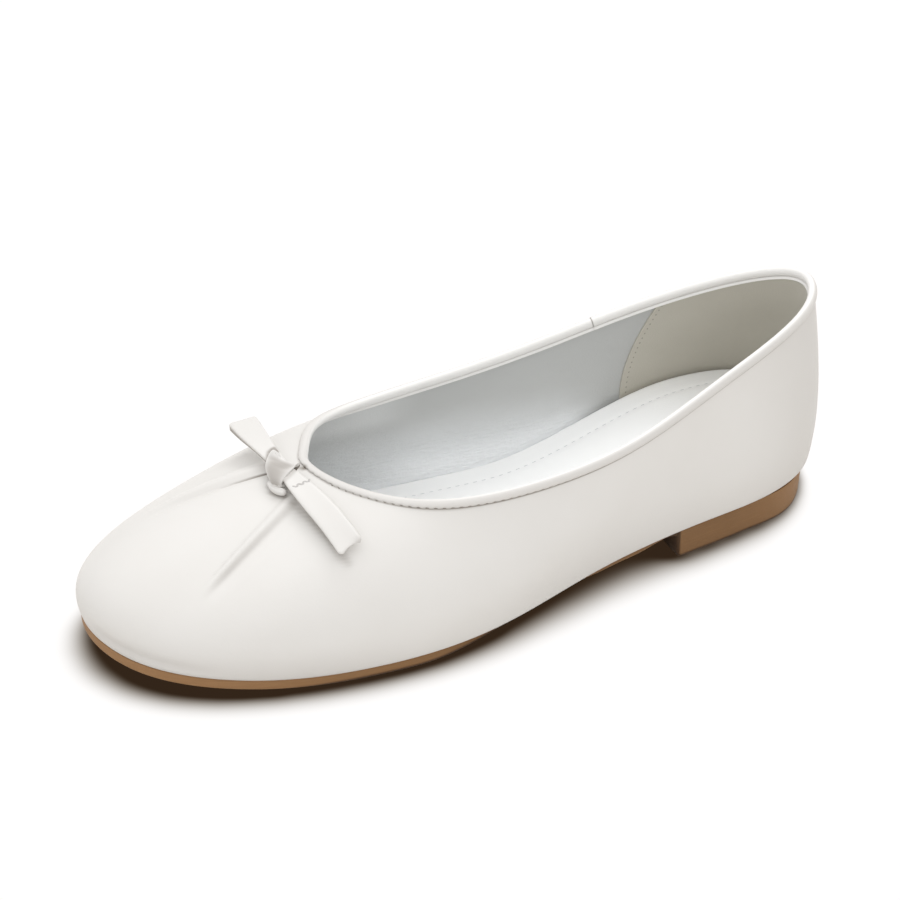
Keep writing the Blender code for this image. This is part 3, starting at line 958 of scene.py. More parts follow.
def gripEdge(rows, turn):  # position of the front edge on each row of the wall, turn is -1 on the outer side
    reach, count = grip["search"]
    fine = np.linspace(last.heel, last.heel + turn * reach, count)
    curve = np.polyfit(grip["height"], grip["front"], 3)
    found = []
    for line in last.wall(fine, rows):
        ahead = line[:, 0] - np.polyval(curve, line[:, 2])
        k = int(np.argmax(ahead > 0.0))
        found.append(np.interp(0.0, ahead[k - 1:k + 1], fine[k - 1:k + 1]))
    return np.array(found)


def onWall(at, share, depth):  # a point under the wall's face, its inward normal and the way up
    step = sampling["shareStep"]
    climb = last.wall(at, (share + step,))[0] - last.wall(at, (share - step,))[0]
    normal = unit(np.cross(last.wallAhead(at, share), climb))
    return last.wall(at, (share,))[0] - normal * depth, -normal, unit(climb)


def makeGrip():
    rows = np.linspace(*grip["shares"])
    edges = [gripEdge(rows, turn) for turn in (-1.0, 1.0)]
    depth = shoe["wall"] + grip["clearance"]
    points = []
    for share, start, stop in zip(rows, *edges):
        points.append(onWall(np.linspace(start, stop, grip["columns"]), share, depth)[0])
    piece = gridPiece("heelGrip", np.stack(points))
    thicken(piece, grip["thickness"])
    finished(piece, suede)
    spots = []
    for edge, inward in zip(edges, (1.0, -1.0)):
        line = np.array([onWall(np.array([e + inward * grip["holeInset"]]), s, depth + grip["thickness"])
                         for e, s in zip(edge, rows)])[:, :, 0]
        steps, walked = evenSteps(line[:, 0], grip["holePitch"], grip["holeStart"])
        spots.append([pathPoints(steps, walked, line[:, k]) for k in range(3)])
    places, normals, climbs = np.concatenate(spots, axis=1)
    # dark marks: painted shade inside the holes
    holes = sown("gripStitchHoles", places, unit(climbs), unit(normals), grip["hole"])
    finished(holes, threads["gripHole"])


print("heel grip:")
makeGrip()

# Binding: a leather strip rolled over the collar and sewn, its ends butted on the inner side
binding = {
    "steps": 1400,
    "joint": 61.5,  # station of the butted ends, on the inner side of the collar
    "overlap": 7.0,  # the closing end is fuller over this length
    "fuller": 1.04,
    "cut": 0.05,  # half of the gap at the joint
    "jointShade": 0.60,  # painted shade: a dark line across the strip at the joint
    "jointPoints": 21,  # over these first points of the section
    "scallop": 0.17,  # each stitch draws the strip's outer edge up by this much
    "scallopFrom": (80.0, 45.0),  # in front of this station, over this run
    "scallopPart": (0.5, -0.9),  # further out and lower than this in the section
    "shade": ((0, 0.5), (1, 0.4), (20, 0.30), (21, 0.45), (22, 0.15)),  # section point and its painted shade
    "outside": 0.28,  # painted shade on the outer flank
    "outsideFrom": (0.1, 1.0),
}

# The strip's section in millimetres: out from the middle of the wall, up from the wall's edge
bindingSection = (
    (0.69, -0.96), (0.78, -1.09), (0.94, -1.13), (1.12, -1.03), (1.29, -0.74), (1.38, -0.33), (1.40, 0.08),
    (1.32, 0.58), (1.12, 1.04), (0.82, 1.38), (0.44, 1.60), (0.00, 1.68), (-0.44, 1.60), (-0.82, 1.38),
    (-1.12, 1.04), (-1.32, 0.58), (-1.40, 0.08), (-1.38, -0.32), (-1.28, -0.66), (-1.10, -0.90),
    (-0.94, -1.00), (-0.86, -1.10), (-0.95, -1.20), (-1.22, -1.32), (-1.50, -1.52), (-1.64, -1.74),
    (-1.60, -1.94), (-1.40, -2.06), (-1.00, -2.06), (-0.70, -1.95), (-0.68, -1.20), (-0.68, 0.24),
    (-0.40, 0.32), (0.40, 0.32), (0.68, 0.24), (0.68, -0.60),
)

topline = {
    "pitch": 2.5,
    "holeDepth": 1.16,  # under the collar
    "threadDepth": 1.04,
    "proud": 0.04,
    "front": 162.0,  # the strip hides them behind the bow, in front of this station
    "bowSide": 2.0,
    "endGap": 1.0,
    "stitch": (0.80, 0.17, 0.14),
    "hole": (0.34, 0.20, 0.12),
}


def collarWalk():  # positions once round the collar from the joint, and the way walked
    inner = np.linspace(last.heel, last.end, sampling["collar"])
    start = np.interp(binding["joint"], last.rows(inner)[:, 2], inner)
    fine = np.linspace(start, start + last.end, sampling["collar"])
    return fine, walkedAlong(last.rows(fine)[:, 2:5])


def makeBinding():
    section = np.array(bindingSection)
    fine, walked = collarWalk()
    along = np.linspace(binding["cut"], walked[-1] - binding["cut"], binding["steps"] + 1)
    edge, out, up = last.collarFrame(np.interp(along, walked, fine))
    size = 1.0 + (binding["fuller"] - 1.0) * smoothStep(1.0 - (walked[-1] - along) / binding["overlap"])
    drawn = binding["scallop"] * (0.5 + 0.5 * np.cos(2.0 * math.pi * along / topline["pitch"])) ** 2
    drawn = drawn * rising(edge[:, 0], *binding["scallopFrom"])
    partOut, partUp = binding["scallopPart"]
    middle = -shoe["wall"] / 2.0
    lines = []
    for a, b in section:
        lift = b * (size if b > 0.0 else np.ones_like(size))
        if a > partOut and b < partUp:
            lift = lift + drawn
        lines.append(edge + out * (middle + a * size)[:, None] + up * lift[:, None])
    rings = loft(lines)
    caps = [np.repeat(ring.mean(axis=0)[None], len(ring), axis=0) for ring in (rings[0], rings[-1])]
    rings = np.concatenate([caps[0][None], rings, caps[1][None]])
    flank = binding["outside"] * rising(section[:, 0], *binding["outsideFrom"])
    for point, share in binding["shade"]:
        flank[point] = share
    line, dark, width = bowShadows[-1]
    shade = np.append(flank, flank[0])[None] + dark * hill(offLine(rings, line), width)
    shade[[0, 1, -2, -1], :binding["jointPoints"]] += binding["jointShade"]
    piece = gridPiece("toplineBinding", rings, True, shade)
    finished(piece, bindingLeather, "topline_binding", angle=55.0)


def makeToplineStitches():  # a hole under each notch of the strip, and the thread between
    fine, walked = collarWalk()
    steps = np.arange(topline["pitch"], walked[-1] - topline["endGap"], topline["pitch"])
    collar = last.rows(np.interp(steps, walked, fine))
    steps = steps[(collar[:, 2] < topline["front"]) | (collar[:, 3] > topline["bowSide"])]
    place, normal, along = last.below(np.interp(steps, walked, fine), topline["holeDepth"])
    # dark marks: painted shade inside the holes
    holes = sown("toplineNeedleHoles", place, along, normal, topline["hole"])
    finished(holes, threads["needleHole"])
    middle = steps + topline["pitch"] / 2.0
    place, normal, along = last.below(np.interp(middle, walked, fine), topline["threadDepth"])
    stitches = sown("toplineStitches", place + normal * topline["proud"], along, normal, topline["stitch"])
    finished(stitches, threads["upperThread"])


print("binding:")
makeBinding()
makeToplineStitches()

# Insole: a padded footbed with a wedge at the heel and a row of stitches
insole = {
    "stations": 150,
    "thickness": 2.0,
    "wedge": 10.8,
    "wedgeFront": 103.0,
    "wedgeBack": 32.0,
    "rim": 1.8,  # rounding of the upper edge
    "rimSteps": 6,
    "inset": 2.3,
    "clearance": 0.9,  # between the pad and the lining
    "crown": 0.5,  # the padding stands this much higher in the middle
    "crownRun": 14.0,
    "spine": ((34.0, 120.0, 200.0), (-2.0, 1.5, -3.5)),  # stations and sides of the line down its middle
    "rings": (2.0, 3.5, 5.5, 7.0, 7.6, 8.1, 8.6, 9.1, 9.6, 10.2, 12.0, 15.0, 19.0, 24.0, 30.0),
    "stitchInset": 8.6,
    "stitchPitch": 2.8,
    "stitch": (0.70, 0.17, 0.07),
    "furrow": 0.22,  # the stitches draw the cover down
    "furrowWidth": 1.0,
}


def insoleBase(x):
    return featherHeight(x) + shoe["wall"] + shoe["gap"]


def insoleHeight(x):
    wedge = insole["wedge"] * falling(x, insole["wedgeFront"], insole["wedgeFront"] - insole["wedgeBack"])
    return insoleBase(x) + insole["thickness"] + wedge


def endCrowded(start, stop, count):  # stations that crowd at both rounded ends
    turn = np.linspace(0.0, math.pi, count + 1)
    return start + (stop - start) * (1.0 - np.cos(turn)) / 2.0


def insoleEdge(at):  # the pad's lower edge, and its upper edge along the wall
    wall = last.wall(at, np.linspace(0.0, 1.0, sampling["wall"]))
    plan = last.edge(at, insole["inset"])
    level = insoleHeight(plan[:, 0])
    edge = np.empty((len(at), 2))
    for i in range(len(at)):
        for axis in range(2):
            edge[i, axis] = np.interp(level[i], wall[:, i, 2], wall[:, i, axis])
    return plan, edge - last.outward(at) * (shoe["wall"] + insole["clearance"])


def insoleSpine(low):  # the point on the middle line for each point of the lower edge
    stations, sides = insole["spine"]
    outer = np.clip(low[:insole["stations"] + 1, 0], stations[0], stations[-1])
    x = np.concatenate([outer, outer[::-1][1:]])
    return np.column_stack([x, np.interp(x, stations, sides)])


def makeInsole():
    stations = endCrowded(shoe["length"], 0.0, insole["stations"])
    at = np.concatenate([last.positions(stations, True), last.positions(stations[::-1], False)[1:]])
    low, edge = insoleEdge(at)
    spine = insoleSpine(low)
    span = np.linalg.norm(edge - spine, axis=1)
    inward = (spine - edge) / span[:, None]

    def ring(inset, drop):
        plan = edge + inward * np.minimum(inset, span)[:, None]
        rise = insole["crown"] * smoothStep(inset / insole["crownRun"])
        furrow = insole["furrow"] * hill(inset - insole["stitchInset"], insole["furrowWidth"])
        return np.column_stack([plan, insoleHeight(plan[:, 0]) + rise - furrow - drop])

    rim = insole["rim"]
    rows = [np.column_stack([plan, insoleBase(plan[:, 0])]) for plan in (spine, low)]
    for turn in np.linspace(0.0, math.pi / 2.0, insole["rimSteps"]):
        rows.append(ring(rim * (1.0 - math.cos(turn)), rim * (1.0 - math.sin(turn))))
    for inset in insole["rings"]:
        rows.append(ring(inset, 0.0))
    rows.append(np.column_stack([spine, insoleHeight(spine[:, 0]) + insole["crown"]]))
    piece = gridPiece("insolePad", np.stack(rows), True)
    finished(piece, footbed, "insole", angle=60.0)
    line = ring(insole["stitchInset"], 0.0)
    places = pathPoints(*evenSteps(line, insole["stitchPitch"]), line)
    along = unit(np.roll(places, -1, axis=0) - np.roll(places, 1, axis=0))
    normal = unit(np.array([0.0, 0.0, 1.0]) - along * along[:, 2:])
    stitches = sown("insoleStitches", places, along, normal, insole["stitch"])
    finished(stitches, threads["insoleThread"])


print("insole:")
makeInsole()

# Outsole: moulded rubber, a thin waist between the forefoot pad and the low heel
sole = {
    "padEnd": 124.6,
    "breast": 60.0,
    "stepRun": 0.8,
    "stepSpots": (-0.2, 1.2, 9),  # shares of that run, and how many
    "waist": 2.2,
    "round": 0.7,  # lower edge
    "roundSteps": 5,
    "cornerRound": 0.9,  # upright corners of the breast
    "cornerSteps": 7,
    "heelTaper": 0.8,
    "topInset": 0.15,
    "wallShares": (0.06, 0.35, 0.7),
    "insets": ((0.0, 20.0, 36.0, 60.0, 63.0, 76.0, 86.0, 116.0, 156.0, 200.0, 240.0),
               (2.5, 0.0, 1.2, 1.0, 2.6, 1.3, 1.6, 6.0, 1.1, 1.0, 0.5)),
    "toe": (200.0, 44),  # the rounded ends have closer stations: from or to, and how many
    "heel": (26.0, 34),
    "stationPitch": 2.0,
    "columns": 22,
    "ribs": (132.0, 224.0, 4.6),  # tread from, to and pitch
    "heelRibs": (10.0, 54.0, 4.6),
    "ribSpots": (-0.5, -0.3, 0.3, 0.5),  # stations across each groove
    "ribLead": 1.0,  # the first groove starts this much early
    "ribEdge": (0.28, 0.24),
    "ribRim": (4.0, 1.5),  # the grooves end inside the rim
    "ribDepth": 0.5,
}


def soleInset(x):
    stations, insets = (np.array(row) for row in sole["insets"])
    k = np.clip(np.searchsorted(stations, x) - 1, 0, len(stations) - 2)
    share = (x - stations[k]) / (stations[k + 1] - stations[k])
    return insets[k] + (insets[k + 1] - insets[k]) * smoothStep(share)


def soleGround(x):  # underside: pad, waist and heel with softened steps
    waist = featherHeight(x) - shoe["gap"] - sole["waist"]
    run = sole["stepRun"]
    toWaist = falling(x, sole["padEnd"], run) * rising(x, sole["breast"], run)
    return np.where(x > sole["padEnd"], toeLift(x), waist * toWaist)


def ribStations(first, final, pitch):
    marks = np.arange(first, final, pitch)
    return np.concatenate([marks + offset for offset in sole["ribSpots"]])


def ribbed(x):  # 1 in the grooves of the tread
    depth = np.zeros_like(x)
    for first, final, pitch in (sole["ribs"], sole["heelRibs"]):
        phase = np.abs(np.mod(x - first + pitch / 2.0, pitch) - pitch / 2.0)
        inside = (x > first - sole["ribLead"]) & (x < final)
        depth = np.where(inside, np.maximum(depth, 1.0 - rising(phase, *sole["ribEdge"])), depth)
    return depth


def soleSide(stations, outerSide):  # upper edge, wall and rounded lower edge of one side
    at = last.positions(stations, outerSide)
    ground = soleGround(stations)
    inset = soleInset(stations)
    radius = sole["cornerRound"]
    into = np.clip(radius - (sole["breast"] - stations), 0.0, radius)
    behind = stations <= sole["breast"] + sole["stepRun"]
    low = np.where(behind, cornerInset(into, radius), 0.0)
    low = low + sole["heelTaper"] * np.clip((sole["breast"] - stations) / sole["breast"], 0.0, 1.0)
    top = last.edge(at, inset + sole["topInset"])
    ceiling = featherHeight(top[:, 0]) - shoe["gap"]
    rows = [np.column_stack([top, ceiling])]
    for share in sole["wallShares"]:
        plan = last.edge(at, inset + low * share)
        rows.append(np.column_stack([plan, ceiling + (ground + sole["round"] - ceiling) * share]))
    for turn in np.linspace(0.0, math.pi / 2.0, sole["roundSteps"]):
        plan = last.edge(at, inset + low + sole["round"] * (1.0 - math.cos(turn)))
        rows.append(np.column_stack([plan, ground + sole["round"] * (1.0 - math.sin(turn))]))
    return np.stack(rows, axis=1)


def startCrowded(count):  # shares from 0 to 1, closer together at the start
    return 1.0 - np.cos(np.linspace(0.0, math.pi / 2.0, count))


def soleStations():
    toeFrom, toeCount = sole["toe"]
    heelTo, heelCount = sole["heel"]
    toe = shoe["length"] - (shoe["length"] - toeFrom) * startCrowded(toeCount)
    heel = heelTo * startCrowded(heelCount)
    plain = np.arange(heelTo, toeFrom, sole["stationPitch"])
    steps = np.linspace(*sole["stepSpots"]) * sole["stepRun"]
    corners = sole["breast"] - sole["cornerRound"] * np.linspace(0.0, 1.0, sole["cornerSteps"])
    stations = np.concatenate([toe, heel, plain, sole["padEnd"] - steps, sole["breast"] + steps, corners,
                               ribStations(*sole["ribs"]), ribStations(*sole["heelRibs"])])
    return np.unique(np.round(stations, 3))[::-1]


def makeOutsole():
    stations = soleStations()
    outer = soleSide(stations, True)
    inner = soleSide(stations, False)
    for end in (0, -1):  # both sides meet at the toe and at the back
        outer[end] = inner[end] = (outer[end] + inner[end]) / 2.0
    share = np.linspace(0.0, 1.0, sole["columns"])[1:-1]
    under = outer[:, -1:] + (inner[:, -1:] - outer[:, -1:]) * share[None, :, None]
    width = np.linalg.norm(inner[:, -1] - outer[:, -1], axis=1)
    rim = np.minimum(share, 1.0 - share)[None] * width[:, None]
    under[..., 2] += sole["ribDepth"] * ribbed(stations)[:, None] * rising(rim, *sole["ribRim"])
    above = inner[:, :1] + (outer[:, :1] - inner[:, :1]) * share[None, :, None]
    rings = around(np.concatenate([outer, under, inner[:, ::-1], above], axis=1))
    piece = gridPiece("outsoleRubber", rings, True)
    finished(piece, rubber, "outsole", angle=50.0)


print("outsole:")
makeOutsole()

# Bow: a folded strip laid across the vamp, wrapped once into a knot
bow = {
    "thickness": 1.8,
    "steps": 170,
    "stepAside": 0.02,
    "sides": 44,
    "flatWide": 0.46,  # how square the section is
    "flatThick": 0.66,
    "edge": 0.30,  # the folded edges stand this much thicker than the middle
    "endRings": (3.0, 15),  # finer rings over this length at both ends
    "endRound": 0.8,
    "corner": 1.3,  # rounding of the corners of both ends
    "turned": 1.2,  # the inner end's edge is folded under, and stands thicker
    "turnedRun": 18.0,
    "turnedSide": (-0.3, 0.6),  # shares of the half width and the half thickness
    "turnedUnder": (0.1, 0.5),
    "curl": 0.40,  # the outer end hollows towards its tip
    "curlRun": 10.0,
    "notch": 0.8,
    "notchRun": 4.0,
    "nearLine": (172.5, -3.5, 0.514),  # a point and the slope of the knot's outer edge
    "nearShade": (0.30, 0.3, 0.8),  # painted shade beside it: how much, how far past it, how wide
    # the whole strip is a little darker
    "allDarker": 0.03,
    # painted shade along the hook line: how dark, how wide
    "hookShade": (0.75, 0.65),
    # painted shade along the strip's lower edge on the toe side
    "underShade": 0.85,
    "underSide": (-0.80, 0.18),
    "underLine": (0.25, 0.32),
    # painted shade at the ends, on the heel side
    "endShade": 0.22,
    "endShadeSide": (0.2, 0.7),
    "endShadeRun": 3.0,
}

# Painted shade: the dark line where the strip comes out from behind the knot's lip
bowHook = ((179.4, -10.9, 48.7), (178.5, -11.9, 48.7), (177.4, -13.6, 48.7), (176.2, -14.7, 48.7),
           (175.1, -14.9, 48.7), (174.8, -13.0, 48.7))

# x y z width lean of the strip, from its inner end to its outer end
bowFolds = (
    (176.5, -35.3, 46.8, 9.0, 0.03),
    (177.0, -25.5, 47.7, 8.0, 0.04),
    (177.1, -16.5, 48.1, 6.0, 0.08),
    (176.4, -6.8, 47.5, 4.8, 0.13),
    (175.5, 1.5, 46.9, 6.2, 0.15),
    (173.9, 10.5, 45.4, 7.8, 0.21),
    (172.2, 20.5, 43.0, 8.0, 0.32),
    (170.9, 29.7, 39.8, 8.0, 0.45),
)


def bowStrip(steps):  # frames along the strip, at a number of steps or at given places
    folds = np.array(bowFolds)
    walked = walkedAlong(folds[:, :3])
    at = np.linspace(0.0, walked[-1], steps + 1) if np.isscalar(steps) else steps
    aside = bow["stepAside"]
    rows = openSpline(walked, folds, at)
    across = unit(np.column_stack([-np.ones(len(at)), np.zeros(len(at)), rows[:, 4]]))
    along = unit(openSpline(walked, folds, at + aside) - openSpline(walked, folds, at - aside))[:, :3]
    return at, rows, across, along, unit(np.cross(along, across))


def tailRings():
    even = bowStrip(bow["steps"])[0]
    reach, count = bow["endRings"]
    close = reach * np.linspace(0.0, 1.0, count) ** 2
    between = even[(even > close[-1]) & (even < even[-1] - close[-1])]
    return np.concatenate([close, between, even[-1] - close[::-1]])


# painted shade on the strip, and its even darkening
def tailShade(rings, marks):
    dark, past, width = bow["nearShade"]
    start, side, slope = bow["nearLine"]
    off = rings[..., 1] - side - (rings[..., 0] - start) * slope
    shade = loft(marks) + dark * hill(off - past, width) + bow["allDarker"]
    dark, width = bow["hookShade"]
    return shade + dark * hill(offLine(rings, bowHook), width)


def makeTails():
    at, rows, across, along, normal = bowStrip(tailRings())
    toEnd = at[-1] - at
    fromEnd = np.minimum(at, toEnd)
    turns = roundTurns(bow["sides"])
    wide = squarish(np.cos(turns), bow["flatWide"])
    thick = squarish(np.sin(turns), bow["flatThick"])
    close = roundedEnd(fromEnd, bow["endRound"])
    inset = cornerInset(np.clip(bow["corner"] - fromEnd, 0.0, bow["corner"]), bow["corner"])
    curl = smoothStep(1.0 - toEnd / bow["curlRun"])
    turned = bow["turned"] * close * np.clip(1.0 - at / bow["turnedRun"], 0.0, 1.0)
    notch = bow["notch"] * smoothStep(1.0 - toEnd / bow["notchRun"])
    endShade = bow["endShade"] * smoothStep(1.0 - toEnd / bow["endShadeRun"])
    underLine, underWidth = bow["underLine"]
    lines = []
    marks = []
    for a, b in zip(wide, thick):
        puff = 1.0 - (bow["edge"] + bow["curl"] * curl) * (1.0 - a * a)
        lift = bow["thickness"] / 2.0 * b * puff * close
        lift = lift - turned * falling(a, *bow["turnedSide"]) * falling(b, *bow["turnedUnder"])
        side = across * ((rows[:, 3] / 2.0 - inset) * a)[:, None]
        lines.append(rows[:, :3] + side + normal * lift[:, None] - along * (notch * (1.0 - a * a))[:, None])
        # painted shade on the lower edge and at the ends
        under = bow["underShade"] * falling(a, *bow["underSide"]) * hill(b + underLine, underWidth)
        marks.append(under + endShade * rising(a, *bow["endShadeSide"]))
    rings = loft(lines)
    piece = gridPiece("bowTails", rings, True, tailShade(rings, marks))
    finished(piece, leather, "bow_tails", angle=50.0)


knot = {
    "steps": 144,
    "stepAside": 0.05,
    "sides": 36,
    "flat": 0.62,  # how square the wrap's edges are
    "shade": 0.54,  # painted shade on the top of the wrap, up to this fold
    "shadeTo": (3.7, 0.7),
    "hollow": 0.85,  # and painted shade in its open end, between these folds
    "hollowFrom": (4.7, 0.4),
    "hollowTo": (7.4, 0.4),
    "hollowSide": (0.2, 0.5),
}

# One turn of the wrap, from its tip over the top and back below the strip:
# inner edge x y z, outer edge x y z, crown of the middle, half thickness
wrapFolds = (
    (181.3, -2.9, 45.9, 179.3, -0.2, 46.4, 0.4, 0.65),  # tip on the toe side
    (181.4, -6.3, 47.1, 177.9, -1.1, 47.6, 0.6, 0.68),
    (180.4, -9.3, 48.2, 175.8, -2.3, 48.2, 0.2, 0.68),
    (178.9, -11.0, 49.2, 174.0, -3.1, 48.8, -1.2, 0.65),
    (177.0, -11.6, 50.6, 172.5, -3.5, 49.6, -2.6, 0.75),  # lip on the throat side
    (175.6, -11.2, 49.6, 171.7, -4.0, 48.6, -2.6, 0.65),
    (174.6, -10.6, 47.2, 172.0, -4.8, 46.8, -0.8, 0.60),
    (175.8, -9.4, 45.6, 174.6, -4.4, 45.1, 0.0, 0.55),  # below the strip
    (179.3, -5.0, 44.9, 178.2, -1.0, 44.7, 0.0, 0.55),
)


def makeKnot():
    folds = np.array(wrapFolds)
    middles = (folds[:, :3] + folds[:, 3:6]) / 2.0
    knots = walkedAlong(np.concatenate([middles, middles[:1]]))
    at = np.linspace(0.0, knots[-1], knot["steps"] + 1)
    aside = knot["stepAside"]
    rows = closedSpline(knots, folds, at)
    far = rows[:, :3]
    near = rows[:, 3:6]
    ahead = closedSpline(knots, folds, at + aside) - closedSpline(knots, folds, at - aside)
    normal = unit(np.cross(near - far, ahead[:, :3] + ahead[:, 3:6]))
    fold = np.interp(at, knots, np.arange(len(knots)))
    shieldShade = knot["shade"] * falling(fold, *knot["shadeTo"])
    hollow = knot["hollow"] * rising(fold, *knot["hollowFrom"]) * falling(fold, *knot["hollowTo"])
    lines = []
    marks = []
    for turn in roundTurns(knot["sides"]):
        across = squarish(np.cos(turn), knot["flat"])
        through = squarish(np.sin(turn), knot["flat"])
        lift = rows[:, 6] * (1.0 - across * across) + rows[:, 7] * through
        lines.append((far + near) / 2.0 + (near - far) / 2.0 * across + normal * lift[:, None])
        marks.append(shieldShade * (1.0 - across ** 4) + hollow * rising(across, *knot["hollowSide"]))
    piece = gridPiece("bowKnot", loft(lines), True, loft(marks))
    finished(piece, leather, "bow_knot", angle=60.0)


tuck = {
    "steps": 40,
    "sides": 24,
    "seam": 0.22,  # how deep its seam is
    "seamTurn": 1.0,
    "seamWidth": 0.35,
}

# The rolled end that shows below the wrap: x y z radius
tuckFolds = (
    (181.6, -4.6, 45.3, 0.75),
    (181.3, -2.4, 44.6, 1.15),
    (180.3, -0.3, 44.2, 1.25),
    (178.7, 1.5, 44.2, 1.00),
)


def makeTuck():
    folds = np.array(tuckFolds)
    walked = walkedAlong(folds[:, :3])
    at = np.linspace(0.0, walked[-1], tuck["steps"] + 1)
    rows = openSpline(walked, folds, at)
    along = unit(np.gradient(rows[:, :3], axis=0))
    side = unit(np.cross(along, np.array([0.0, 0.0, 1.0])))
    top = unit(np.cross(side, along))
    radius = rows[:, 3] * roundedEnd(np.minimum(at, at[-1] - at), rows[:, 3])
    lines = []
    for turn in roundTurns(tuck["sides"]):
        seam = 1.0 - tuck["seam"] * hill(turn - tuck["seamTurn"], tuck["seamWidth"])
        spoke = side * math.cos(turn) + top * math.sin(turn)
        lines.append(rows[:, :3] + spoke * (radius * seam)[:, None])
    piece = gridPiece("bowTuck", loft(lines), True)
    finished(piece, leather, angle=60.0)


tack = {
    "side": 3.3,
    "shift": 0.8,
    "pitch": 0.95,
    "count": 6,
    "slant": 1.1,  # each stitch leans the other way
    "seat": 0.85,  # share of the hollow between the strip's edges
    "search": 400,
    "stitch": (0.76, 0.34, 0.13),
}


def makeTack():  # short row of stitches that holds the strip beside the knot
    _, rows, across, along, normal = bowStrip(tack["search"])
    k = int(np.argmin(np.abs(rows[:, 1] - tack["side"])))
    order = np.arange(tack["count"])
    offsets = (order - (tack["count"] - 1) / 2.0) * tack["pitch"] + tack["shift"]
    lift = bow["thickness"] / 2.0 * (1.0 - bow["edge"] * tack["seat"])
    places = rows[k, :3] + across[k] * offsets[:, None] + normal[k] * lift
    slant = np.where(order % 2 == 0, tack["slant"], -tack["slant"])[:, None]
    normals = np.tile(normal[k], (tack["count"], 1))
    stitches = sown("bowTack", places, unit(across[k] + along[k] * slant), normals, tack["stitch"])
    finished(stitches, threads["tackThread"])


print("bow:")
makeTails()
makeKnot()
makeTuck()
makeTack()

# Studio: a white floor with a painted tight shadow, and soft light from above and behind; lengths are metres
studio = {
    "floor": (0.80, 0.778, 0.748, 1.0),  # what it throws back at the shoe
    "floorDeep": (0.033, 0.0190, 0.0105),  # close under the sole
    "floorWarm": (1.0, 1.04, 1.10),  # the shade's half tones are warm
    "floorReach": 15.0,
    "floorLevel": -0.00005,
    "patch": ((-0.180, 0.180), (-0.110, 0.130), 0.00125),  # finer floor round the shoe: x, y and step
    "shadowNodes": ("upper", "outsole", "bow_tails"),
    "shadowRays": 80,
    "shadowFocus": 0.25,  # a smaller power brings the rays closer to the light
    "shadowTurns": 16,  # neighbours use turned sets of rays, then the shade is smoothed
    "shadowMix": (5, 11),  # strides that share these sets out
    "shadowPasses": 3,
    "shadowStart": 0.00002,
    "shadowTouch": 0.0008,  # the sole stands on the floor within this
    "shadowUnder": 0.20,
    "shadowReach": 0.040,
    "shadowLean": (-0.395, -0.295, 0.866),  # towards the light
    "shadowRange": (0.28, 0.82),
    "skyTop": 1.68,
    "skyRim": 0.60,
    "skyCurve": 2.0,
    "key": {"place": (-0.55, -0.75, 1.4), "size": 0.7, "power": 5.0},
    "fill": {"place": (0.5, 1.3, 0.9), "size": 1.0, "power": 2.0},
}


def floorLines(low, high, step):  # fine lines round the shoe, then one far out on each side
    fine = np.arange(low, high + step / 2.0, step)
    return np.concatenate([[-studio["floorReach"]], fine, [studio["floorReach"]]])


def shadowRays(share):  # rays round the way to the light, closer together in its middle
    count = studio["shadowRays"]
    k = np.arange(count) + 0.5
    height = (k / count) ** studio["shadowFocus"]
    turn = k * math.pi * (3.0 - math.sqrt(5.0)) + share * 2.0 * math.pi
    flat = np.sqrt(1.0 - height * height)
    lean = Vector(studio["shadowLean"]).to_track_quat("Z", "Y")
    rays = [lean @ Vector(ray) for ray in zip(flat * np.cos(turn), flat * np.sin(turn), height)]
    return [ray for ray in rays if ray.z > 0.0]


def smoothed(values):  # evens the shade out
    for _ in range(studio["shadowPasses"]):
        total = np.zeros_like(values)
        for dy in (-1, 0, 1):
            for dx in (-1, 0, 1):
                total += np.roll(values, (dy, dx), axis=(0, 1)) / 9.0
        values = total
    return values


def shadowTree():
    corners = []
    faces = []
    for name in studio["shadowNodes"]:
        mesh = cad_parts[name].data
        first = len(corners)
        corners += [v.co.copy() for v in mesh.vertices]
        faces += [tuple(first + i for i in p.vertices) for p in mesh.polygons]
    return BVHTree.FromPolygons(corners, faces)


def openSky(columns, rows):  # how much of the light reaches each place on the floor
    tree = shadowTree()
    sets = [shadowRays(i / studio["shadowTurns"]) for i in range(studio["shadowTurns"])]
    reach = studio["shadowReach"]
    mixAcross, mixDeep = studio["shadowMix"]
    up = Vector((0.0, 0.0, 1.0))
    sky = np.ones((len(rows), len(columns)))
    for j, y in enumerate(rows):
        for i, x in enumerate(columns):
            start = Vector((x, y, studio["shadowStart"]))
            if tree.ray_cast(start, up, studio["shadowTouch"])[3] is not None:
                sky[j, i] = studio["shadowUnder"]
                continue
            rays = sets[(mixAcross * i + mixDeep * j) % len(sets)]
            hits = [tree.ray_cast(start, ray, reach)[3] for ray in rays]
            sky[j, i] = sum(1.0 if hit is None else hit / reach for hit in hits) / len(rays)
    return smoothed(sky)


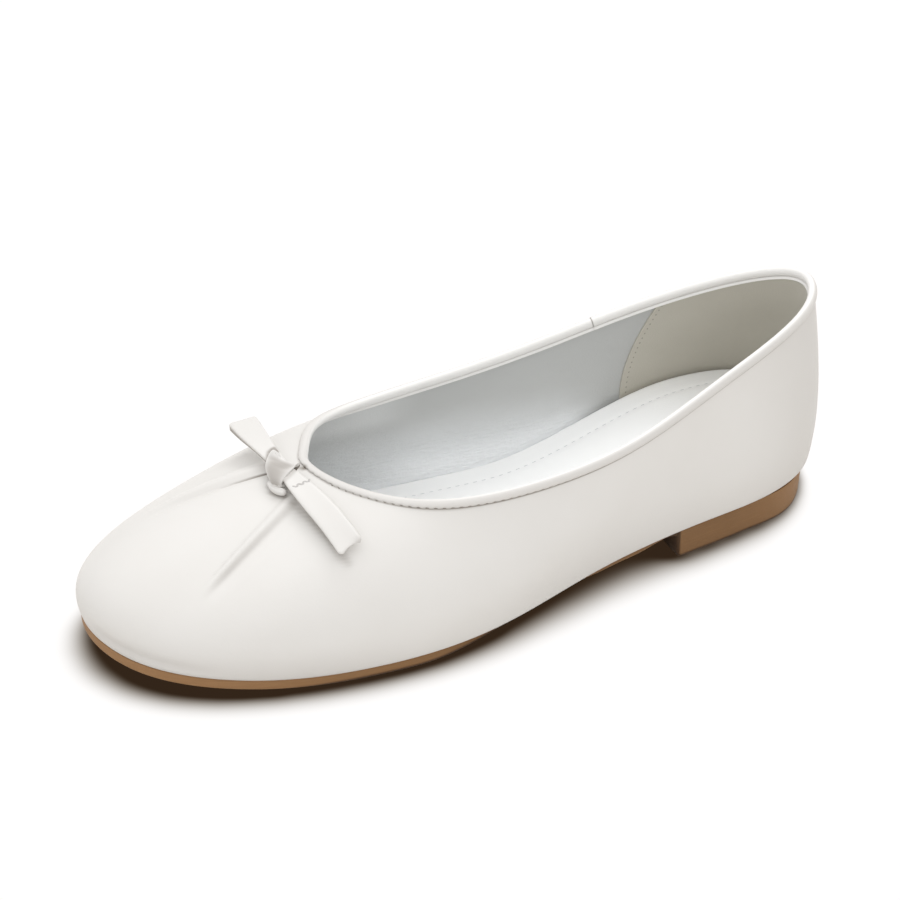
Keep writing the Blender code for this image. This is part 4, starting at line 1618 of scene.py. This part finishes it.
def floorPaint():
    paint = Paint("studioFloor", **{"Roughness": 0.9, "Specular IOR Level": 0.0})
    paint.color(studio["floor"])
    clear = paint.above(paint.marked("sky"), *studio["shadowRange"])
    red, green, blue = (clear ** power for power in studio["floorWarm"])
    warm = paint.node("ShaderNodeCombineColor", {}, {0: red, 1: green, 2: blue})
    tone = paint.node("ShaderNodeVectorMath", {"operation": "ADD"}, {0: warm, 1: studio["floorDeep"]})
    # camera rays see the floor as emission with its painted shadow; other rays see the plain floor
    seen = paint.node("ShaderNodeEmission", {}, {"Color": tone})
    direct = paint.node("ShaderNodeLightPath", {}, {}, "Is Camera Ray")
    lit = Tone(paint, paint.surface.outputs[0])
    mixed = paint.node("ShaderNodeMixShader", {}, {0: direct, 1: lit, 2: seen})
    paint.feed(paint.tree.nodes["Material Output"].inputs["Surface"], mixed)
    return paint.material


def addFloor():
    across, deep, step = studio["patch"]
    columns = floorLines(*across, step)
    rows = floorLines(*deep, step)
    level = np.full((len(rows), len(columns)), studio["floorLevel"])
    floor = laidGrid("studioFloor", np.stack([*np.meshgrid(columns, rows), level], axis=-1))
    mark(floor, "sky", openSky(columns, rows))
    floor.data.materials.append(floorPaint())


def addSky():
    world = bpy.data.worlds.new("studioSky")
    bpy.context.scene.world = world
    world.use_nodes = True
    sky = Nodes(world.node_tree)
    height = sky.axis(sky.place("Generated"), "Z")
    curve = {"operation": "POWER", "use_clamp": True}
    share = sky.node("ShaderNodeMath", curve, {0: height, 1: studio["skyCurve"]})
    limits = {"Value": share, "To Min": studio["skyRim"], "To Max": studio["skyTop"]}
    background = sky.tree.nodes["Background"]
    background.inputs["Color"].default_value = (1.0, 1.0, 1.0, 1.0)
    sky.feed(background.inputs["Strength"], sky.node("ShaderNodeMapRange", {}, limits))


def addLamp(name, look):
    lamp = bpy.data.lights.new(name, "AREA")
    lamp.shape = "DISK"
    lamp.size = look["size"]
    lamp.energy = look["power"]
    aimed(name, lamp, look["place"], -Vector(look["place"]))


def addStudio():
    addFloor()
    addSky()
    addLamp("softKey", studio["key"])
    addLamp("frontFill", studio["fill"])
    bpy.context.scene.view_settings.view_transform = "Standard"


addStudio()
print("studio lit")
